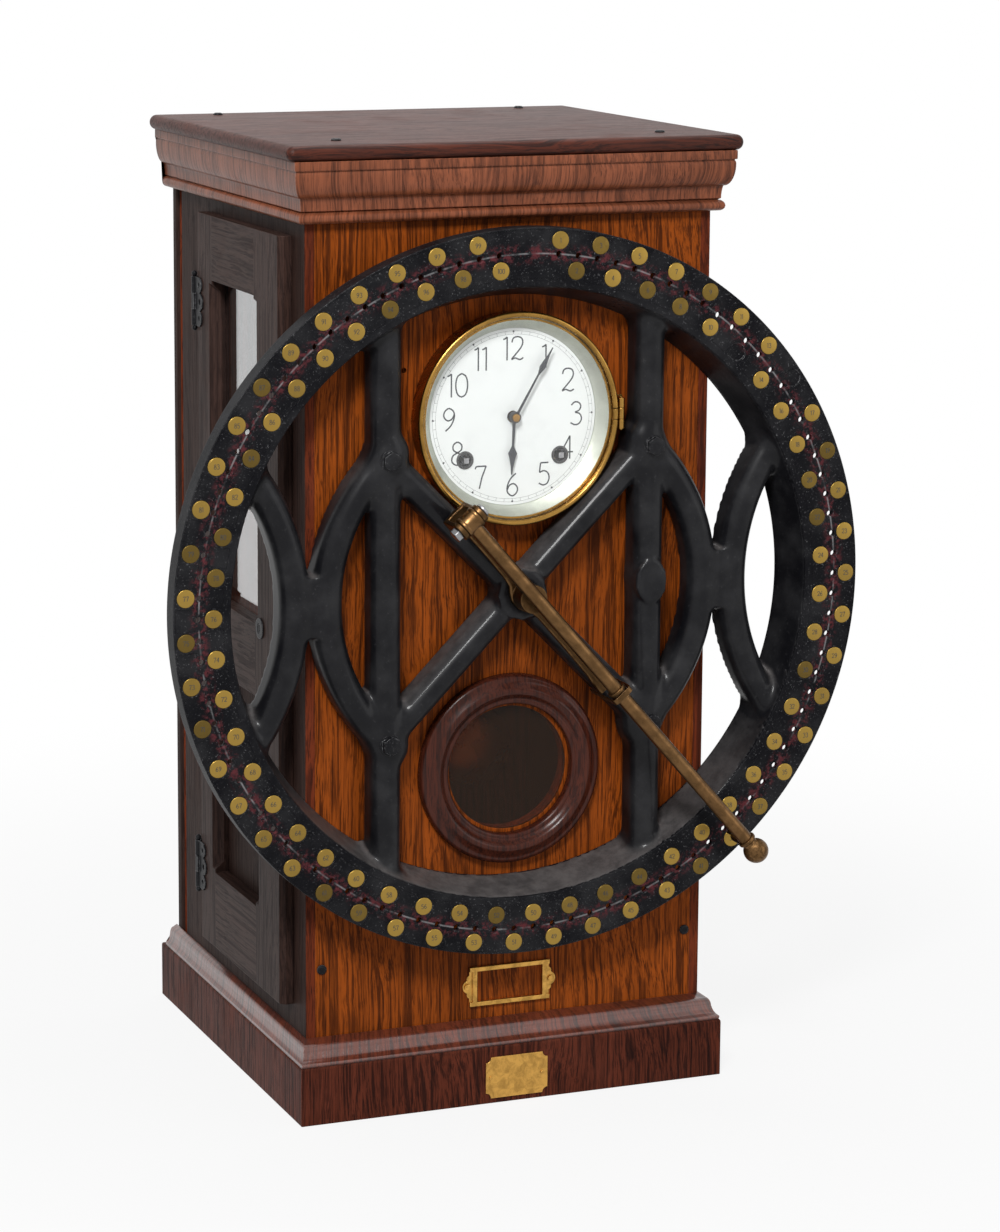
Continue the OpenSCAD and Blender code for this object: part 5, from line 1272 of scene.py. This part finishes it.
def lever_parts():
    """Lever tube, and the barrel of its hinge with a step at each end."""
    tube = soft_turned(oblong(0, 6.5, 2, 407), (0, 0.3, 0.3, 0), on_lever(), 40)
    steps = [(0, -8.5), (10, -8.5), (10, -6), (9.5, -5.2), (9.5, 5.2), (10, 6), (10, 8.5), (0, 8.5)]
    return tube + soft_turned(steps, (0, 0.9, 0.4, 0.4, 0.4, 0.4, 0.9, 0), on_hinge(), 48)


def collar_parts():
    """Collar on the lever, with two rims."""
    outline = [(6.4, 208), (8.5, 208), (8.5, 211), (8.0, 211.8), (8.0, 215.2), (8.5, 216), (8.5, 219), (6.4, 219)]
    return turned(softened(outline, (0.2, 0.8, 0.4, 0.4, 0.4, 0.4, 0.8, 0.2)), on_lever(), 40)


def knob_parts():
    """Ball at the lever's end on a flanged neck."""
    neck = softened([(6.5, 401.6), (8.5, 401.6), (8.5, 404.6), (7.0, 405.4), (7.1, 408)],
                    (0.1, 0.8, 0.8, 0.5, 0.1), closed=False)
    return turned(np.vstack([neck, arc(0, 417, 11.5, -52, 90, 22)]), on_lever(), 48, False)


def punch_parts():
    """Pin that enters a hole, in its thicker sleeve under the lever."""
    tip = mm("face_out") + 8
    outline = [(0, tip), (1.6, tip), (2.0, tip + 0.8), (2.0, tip + 11.5), (3.0, tip + 11.6), (5.5, tip + 15.5),
               (5.5, 88.2), (0, 88.2)]
    return soft_turned(outline, (0, 0.3, 0.3, 0.3, 0.3, 1.0, 0.1, 0), on_pointer(307.77), 32)


def hinge_pin_parts():
    """Hinge pin with its round head at one end and a hexagon nut at the other."""
    at = on_hinge()
    head = [(0, 14.6), (6.5, 14.6), (6.5, 16.4), (5.6, 17.4), (0, 17.4)]
    nut = [-14.4, -14.6, -18.4, -19.0, -19.2, -19.3, -19.3]
    return (soft_turned(head, (0, 0.3, 0.6, 1.0, 0), at, 32) + turned(oblong(0, 4.0, -16.5, 15), at, 24, False)
            + hexagon_head(6.0, [20, 20, 20, 6.5, 6.0, 3.2, 0], nut, at, caps=True))


class CLOCK_OT_pointer(bpy.types.Operator):
    """Pointer: shaft, bracket, lever tube, barrel, collar, knob and pin"""
    bl_idname = "clock.pointer"
    bl_label = "Pointer"

    def execute(self, context):
        dress("steel_part", "pointer_shaft", "push_rod", "sheet_drum", "rear_bearing")
        show("lever_tube_round", lever_parts(), "brass_arm", "lever", ["lever_tube"])
        show("lever_collar_round", collar_parts(), "brass_arm", "lever", ["lever_collar"])
        show("lever_knob_ball", knob_parts(), "brass_knob", "lever", ["lever_knob"])
        show("punch_pin_round", punch_parts(), "brass_arm", "lever", ["punch_pin"])
        show("pointer_bracket_bars", bracket_parts(), "brass_bracket", "pointer", ["pointer_bracket"])
        show("hinge_pin_nut", hinge_pin_parts(), "steel_part", "pointer", ["lever_hinge_pin"])
        return {"FINISHED"}


def sash_parts(at, bead):
    """Thin ring that holds the glass, the strap that carries it over the bezel's gap, and the strap's knuckle."""
    rim = turned(softened(oblong(88.6, 90.6, 17.6, 19.2), 0.3), at, 128)
    outline = np.vstack([[(90.0, 17.8), (90.6, 17.8), (93.2, 18.2), (99.0, 18.6), (99.0, 21.4)], bead[2:],
                         [(91.1, 19.0), (90.0, 19.0)]])
    upright = place((99.9, FRONT_Y - 20, mm("dial_z")), (1, 0, 0), (0, 1, 0))
    knuckle = turned(softened([(1.4, -5), (3, -5), (3, 5), (1.4, 5)], 0.3), upright, 24)
    return rim + part_turned(outline, at, -2.9, 2.9, 5) + knuckle


def cone_outline():
    """Reflector: a shallow cone that steepens outwards, and its back 0.9 mm behind it, above the plate."""
    s = np.linspace(0, 1, 9)
    cone = np.column_stack([80.0 + 10.9 * s, 6.1 + 10.6 * s ** 1.25])
    back = cone[::-1] + [0.9, -0.9]
    back[:, 1] = np.maximum(back[:, 1], 6.02)
    return np.vstack([cone, back])


def print_parts(at):
    """Numerals, two thin rings, a stroke between them for each minute and a dot at every fifth."""
    foot, track, parts = 5.96, np.array([74.4, 77.4]), []
    for hour in range(1, 13):
        turn = math.radians(30 * hour)
        spot = np.array([math.sin(turn), math.cos(turn), 0]) * 61.5
        for line in written(str(hour), mm("numeral_height"), 1.35, foot, 6.08, 2.4):
            parts += placed_surface(line + spot, at, wrap_columns=True, caps=True)
    for radius in track:
        parts += turned(oblong(radius - 0.09, radius + 0.09, foot, 6.06), at, 128)
    for minute in range(60):
        turn = math.radians(6 * minute)
        ahead = np.array([math.sin(turn), math.cos(turn)])
        parts += placed_surface(stroke(track[:, None] * ahead, 0.2, foot, 6.07), at, wrap_columns=True, caps=True)
        if minute % 5 == 0:
            dot = place(put([*(76.9 * ahead), 0], at), (1, 0, 0), (0, 0, 1))
            parts += turned(oblong(0, 0.95, foot, 6.09), dot, 12, False)
    return parts


def hand_parts(at, size, height, angle, places, widths):
    """Spade hand: a stroke with its widths at shares of its length, and a round boss."""
    turn, top = math.radians(angle), height + 0.9
    line = (np.array(places) * size)[:, None] * [math.sin(turn), math.cos(turn)]
    hand = placed_surface(stroke(line, widths, height, top), at, wrap_columns=True, caps=True)
    return hand + turned(oblong(0, 5.2, height, top), at, 32, False)


HANDS = {  # length, distance from the board, angle, places along it and its widths there
    "minute": (71, 12, 30, (0, 0.06, 0.62, 0.66, 0.72, 0.78, 0.9, 1.0), (3.4, 2.4, 1.5, 3.0, 5.4, 4.4, 1.6, 0.8)),
    "hour": (52, 9, 182.5, (0, 0.08, 0.5, 0.56, 0.63, 0.7, 0.86, 1.0), (3.6, 2.8, 1.9, 4.6, 8.6, 6.0, 2.4, 0.8)),
}


class CLOCK_OT_dial(bpy.types.Operator):
    """Dial with its numerals and track, bezel, sash, glass and hands"""
    bl_idname = "clock.dial"
    bl_label = "Dial"

    def execute(self, context):
        at = on_front(0, mm("dial_z"))
        bead = arc(93.9, 21.3, 2.6, -70, 190, 16)
        outline = np.vstack([[(94.8, 0.2)], bead, [(91.1, 19.4), (91.1, 16.2), (93.0, 15.0), (93.0, 0.2)]])
        show("dial_bezel_round", part_turned(outline, at, 3.3, 356.7, 160), "brass_bezel",
             replaces=["dial_bezel"])
        show("dial_reflector_cone", turned(cone_outline(), at, 160), "silver_ring",
             replaces=["dial_reflector"])
        show("dial_sash_rim", sash_parts(at, bead), "brass_bezel", "sash", ["sash_ring"])
        glass = soft_turned(oblong(0, 89.2, 17.7, 18.9), (0, 0.2, 0.2, 0), at, 128)
        show("dial_glass_disc", glass, "dial_pane", "sash", ["dial_glass"])
        dress("brass_bezel", "bezel_hinge_leaf", "bezel_hinge_pin", "center_arbor")
        dress("dial_paint", "dial_plate")
        show("dial_numerals", print_parts(at), "dial_ink")
        for body, sizes in HANDS.items():
            show(body + "_hand_spade", hand_parts(at, *sizes), "hand_steel", body, [body + "_hand"])
        # Cups round the winding arbors, near-black: their black is painted shade of the recess round each arbor.
        cup = softened([(8.2, 6.0), (8.2, 6.8), (6.9, 7.3), (5.5, 6.6), (5.2, 3.2), (3.9, 3.2), (3.9, 2.6), (5.4, 2.6),
                        (5.4, 6.0)], (0.1, 0.4, 0.5, 0.4, 0.3, 0.1, 0.1, 0.1, 0.1))
        eyelets = [part for x in (-46, 46) for part in turned(cup, on_front(x, mm("dial_z") - 37), 40)]
        show("winding_eyelets", eyelets, "eyelet_black")
        return {"FINISHED"}


class CLOCK_OT_works(bpy.types.Operator):
    """Movement, winding arbors and pendulum behind the dial"""
    bl_idname = "clock.works"
    bl_label = "Works"

    def execute(self, context):
        dress("brass_bezel", "movement_plates", "movement_pillars", "spring_barrel_left", "spring_barrel_right",
              "pendulum")
        dress("dark_x", "movement_shelf")
        dress("steel_part", "pendulum_cock", "winding_arbor_left", "winding_arbor_right")
        return {"FINISHED"}


class CLOCK_OT_window(bpy.types.Operator):
    """Round window: turned bezel and smoked glass"""
    bl_idname = "clock.window"
    bl_label = "Round window"

    def execute(self, context):
        at = on_front(0, mm("window_z"))
        outline = np.vstack([
            [(88, 0.1)], arc(83.4, 5.2, 4.6, -20, 95, 9), [(81.6, 10.2), (80.2, 10.9)],
            arc(73.5, 8.8, 5.2, 50, 140, 8), [(68.6, 11.2), (67.2, 9.4)], arc(63.6, 5.6, 3.1, 60, 190, 8),
            [(60.5, 0.1)]])
        show("window_bezel_turned", turned(outline, at, 160), "dark_turned", replaces=["window_bezel"])
        dress("smoked_glass", "window_glass")
        return {"FINISHED"}


class CLOCK_OT_plates(bpy.types.Operator):
    """Label holder, bare name plate and their screws and pins"""
    bl_idname = "clock.plates"
    bl_label = "Label holder and plate"

    def execute(self, context):
        dress("brass_plate", "label_holder", "label_screws", "name_plate", "name_plate_pins")
        return {"FINISHED"}


def placed_item(name, data, right, up, back, spot):
    """Object with its three axes and its place given, in metres."""
    item = bpy.data.objects.new(name, data)
    item.matrix_world = Matrix([[right[k], up[k], back[k], spot[k]] for k in range(3)] + [[0, 0, 0, 1]])
    bpy.context.scene.collection.objects.link(item)
    return item


def lamp(name, spot, target, size, power):
    """Square soft lamp at a spot, in metres, turned to its target."""
    light = bpy.data.lights.new(name, "AREA")
    light.shape, light.size, light.energy = "SQUARE", size, power
    back = np.array(spot, float) - target
    back /= np.linalg.norm(back)
    side = np.cross((0, 0, 1), back)
    side /= np.linalg.norm(side)
    placed_item(name, light, side, np.cross(back, side), back, spot)


def make_floor():
    """Pale floor: plain near the object, where its shadows fall, and glowing white farther off."""
    mesh = bpy.data.meshes.new("studio_floor")
    u, v = np.meshgrid(np.linspace(-9, 9, 13), np.linspace(-9, 9, 13), indexing="ij")
    corners = np.stack([u, v, np.zeros_like(u)], -1).reshape(-1, 3)
    mesh.from_pydata(corners.tolist(), [], grid_faces(13, 13)[:, ::-1].tolist())
    floor = bpy.data.objects.new("studio_floor", mesh)
    bpy.context.scene.collection.objects.link(floor)
    material, tree, shader, coords = start("floor_pale")
    link(tree, shader, Base_Color=paint("floor"), Roughness=0.9)
    glow = add(tree, "Emission", {"Color": (1, 1, 1, 1), "Strength": 1.0}).outputs[0]
    away = add(tree, "VectorMath", {0: coords["Object"]}, operation="LENGTH").outputs["Value"]
    share = calc(tree, "MULTIPLY", seen_ray(tree), between(tree, away, 0.45, 1.4, 0.86, 1.0))
    blend = add(tree, "MixShader", {0: share, 1: shader.outputs[0], 2: glow}).outputs[0]
    feed(tree, tree.nodes["Material Output"], {"Surface": blend})
    mesh.materials.append(material)


def make_world():
    """White background, dimmer where it lights the object."""
    world = bpy.data.worlds.new("studio")
    bpy.context.scene.world = world
    world.use_nodes = True
    tree = world.node_tree
    strength = between(tree, seen_ray(tree), 0.0, 1.0, 0.34, 1.0)
    feed(tree, tree.nodes["Background"], {"Color": (1, 1, 1, 1), "Strength": strength})


def make_camera():
    """Camera that was solved from the photograph."""
    yaw, pitch, roll = -0.3745, -0.1718, 0.0044
    ahead = np.array([-math.sin(yaw) * math.cos(pitch), math.cos(yaw) * math.cos(pitch), math.sin(pitch)])
    level = np.array([math.cos(yaw), math.sin(yaw), 0])
    upright = np.cross(level, ahead)
    right = math.cos(roll) * level + math.sin(roll) * upright
    up = math.cos(roll) * upright - math.sin(roll) * level
    data = bpy.data.cameras.new("camera")
    data.sensor_width, data.lens, data.shift_x, data.shift_y = 36, 108.3, 0.0496, -0.1013
    data.clip_start, data.clip_end = 0.05, 100
    bpy.context.scene.camera = placed_item("camera", data, right, up, -ahead, (-1.26075, -3.21991, 1.13388))


class CLOCK_OT_stage(bpy.types.Operator):
    """Pale floor, soft lamps, white background and the camera"""
    bl_idname = "clock.stage"
    bl_label = "Stage"

    def execute(self, context):
        context.scene.view_settings.view_transform = "Standard"
        make_floor()
        make_world()
        lamp("key_lamp", (-1.3, -2.3, 2.6), (0, 0, 0.5), 0.7, 92)
        lamp("fill_lamp", (2.4, -2.4, 1.2), (0, 0, 0.5), 1.8, 14)
        lamp("top_lamp", (0.2, 0.3, 2.8), (0, 0, 0.6), 1.4, 24)
        lamp("left_lamp", (-2.8, 0.4, 1.0), (0, 0, 0.45), 1.4, 4)
        make_camera()
        return {"FINISHED"}


PIECES = (CLOCK_OT_case, CLOCK_OT_plinth, CLOCK_OT_mouldings, CLOCK_OT_top, CLOCK_OT_door, CLOCK_OT_ring,
          CLOCK_OT_casting, CLOCK_OT_discs, CLOCK_OT_pointer, CLOCK_OT_dial, CLOCK_OT_works, CLOCK_OT_window,
          CLOCK_OT_plates, CLOCK_OT_stage)


class CLOCK_PT_sidebar(bpy.types.Panel):
    """Sizes, colours and pieces of the time clock"""
    bl_idname = "CLOCK_PT_sidebar"
    bl_label = "Time clock"
    bl_space_type = "VIEW_3D"
    bl_region_type = "UI"
    bl_category = "Time clock"

    def draw(self, context):
        for owner in (context.scene.clock_sizes, context.scene.clock_colours):
            box = self.layout.box()
            for name in owner.bl_rna.properties.keys():
                if name not in {"rna_type", "name"}:
                    box.prop(owner, name)
        for piece in PIECES:
            self.layout.operator(piece.bl_idname)


CLASSES = (ClockSizes, ClockColours, *PIECES, CLOCK_PT_sidebar)


def register():
    """Registers the classes and puts the sizes and colours on the scene."""
    for item in CLASSES:
        bpy.utils.register_class(item)
    bpy.types.Scene.clock_sizes = bpy.props.PointerProperty(type=ClockSizes)
    bpy.types.Scene.clock_colours = bpy.props.PointerProperty(type=ClockColours)


def unregister():
    """Takes them off again."""
    del bpy.types.Scene.clock_sizes
    del bpy.types.Scene.clock_colours
    for item in reversed(CLASSES):
        bpy.utils.unregister_class(item)


def main():
    """Registers the classes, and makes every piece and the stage."""
    register()
    for piece in PIECES:
        family, name = piece.bl_idname.split(".")
        getattr(getattr(bpy.ops, family), name)()


if __name__ == "__main__":
    main()
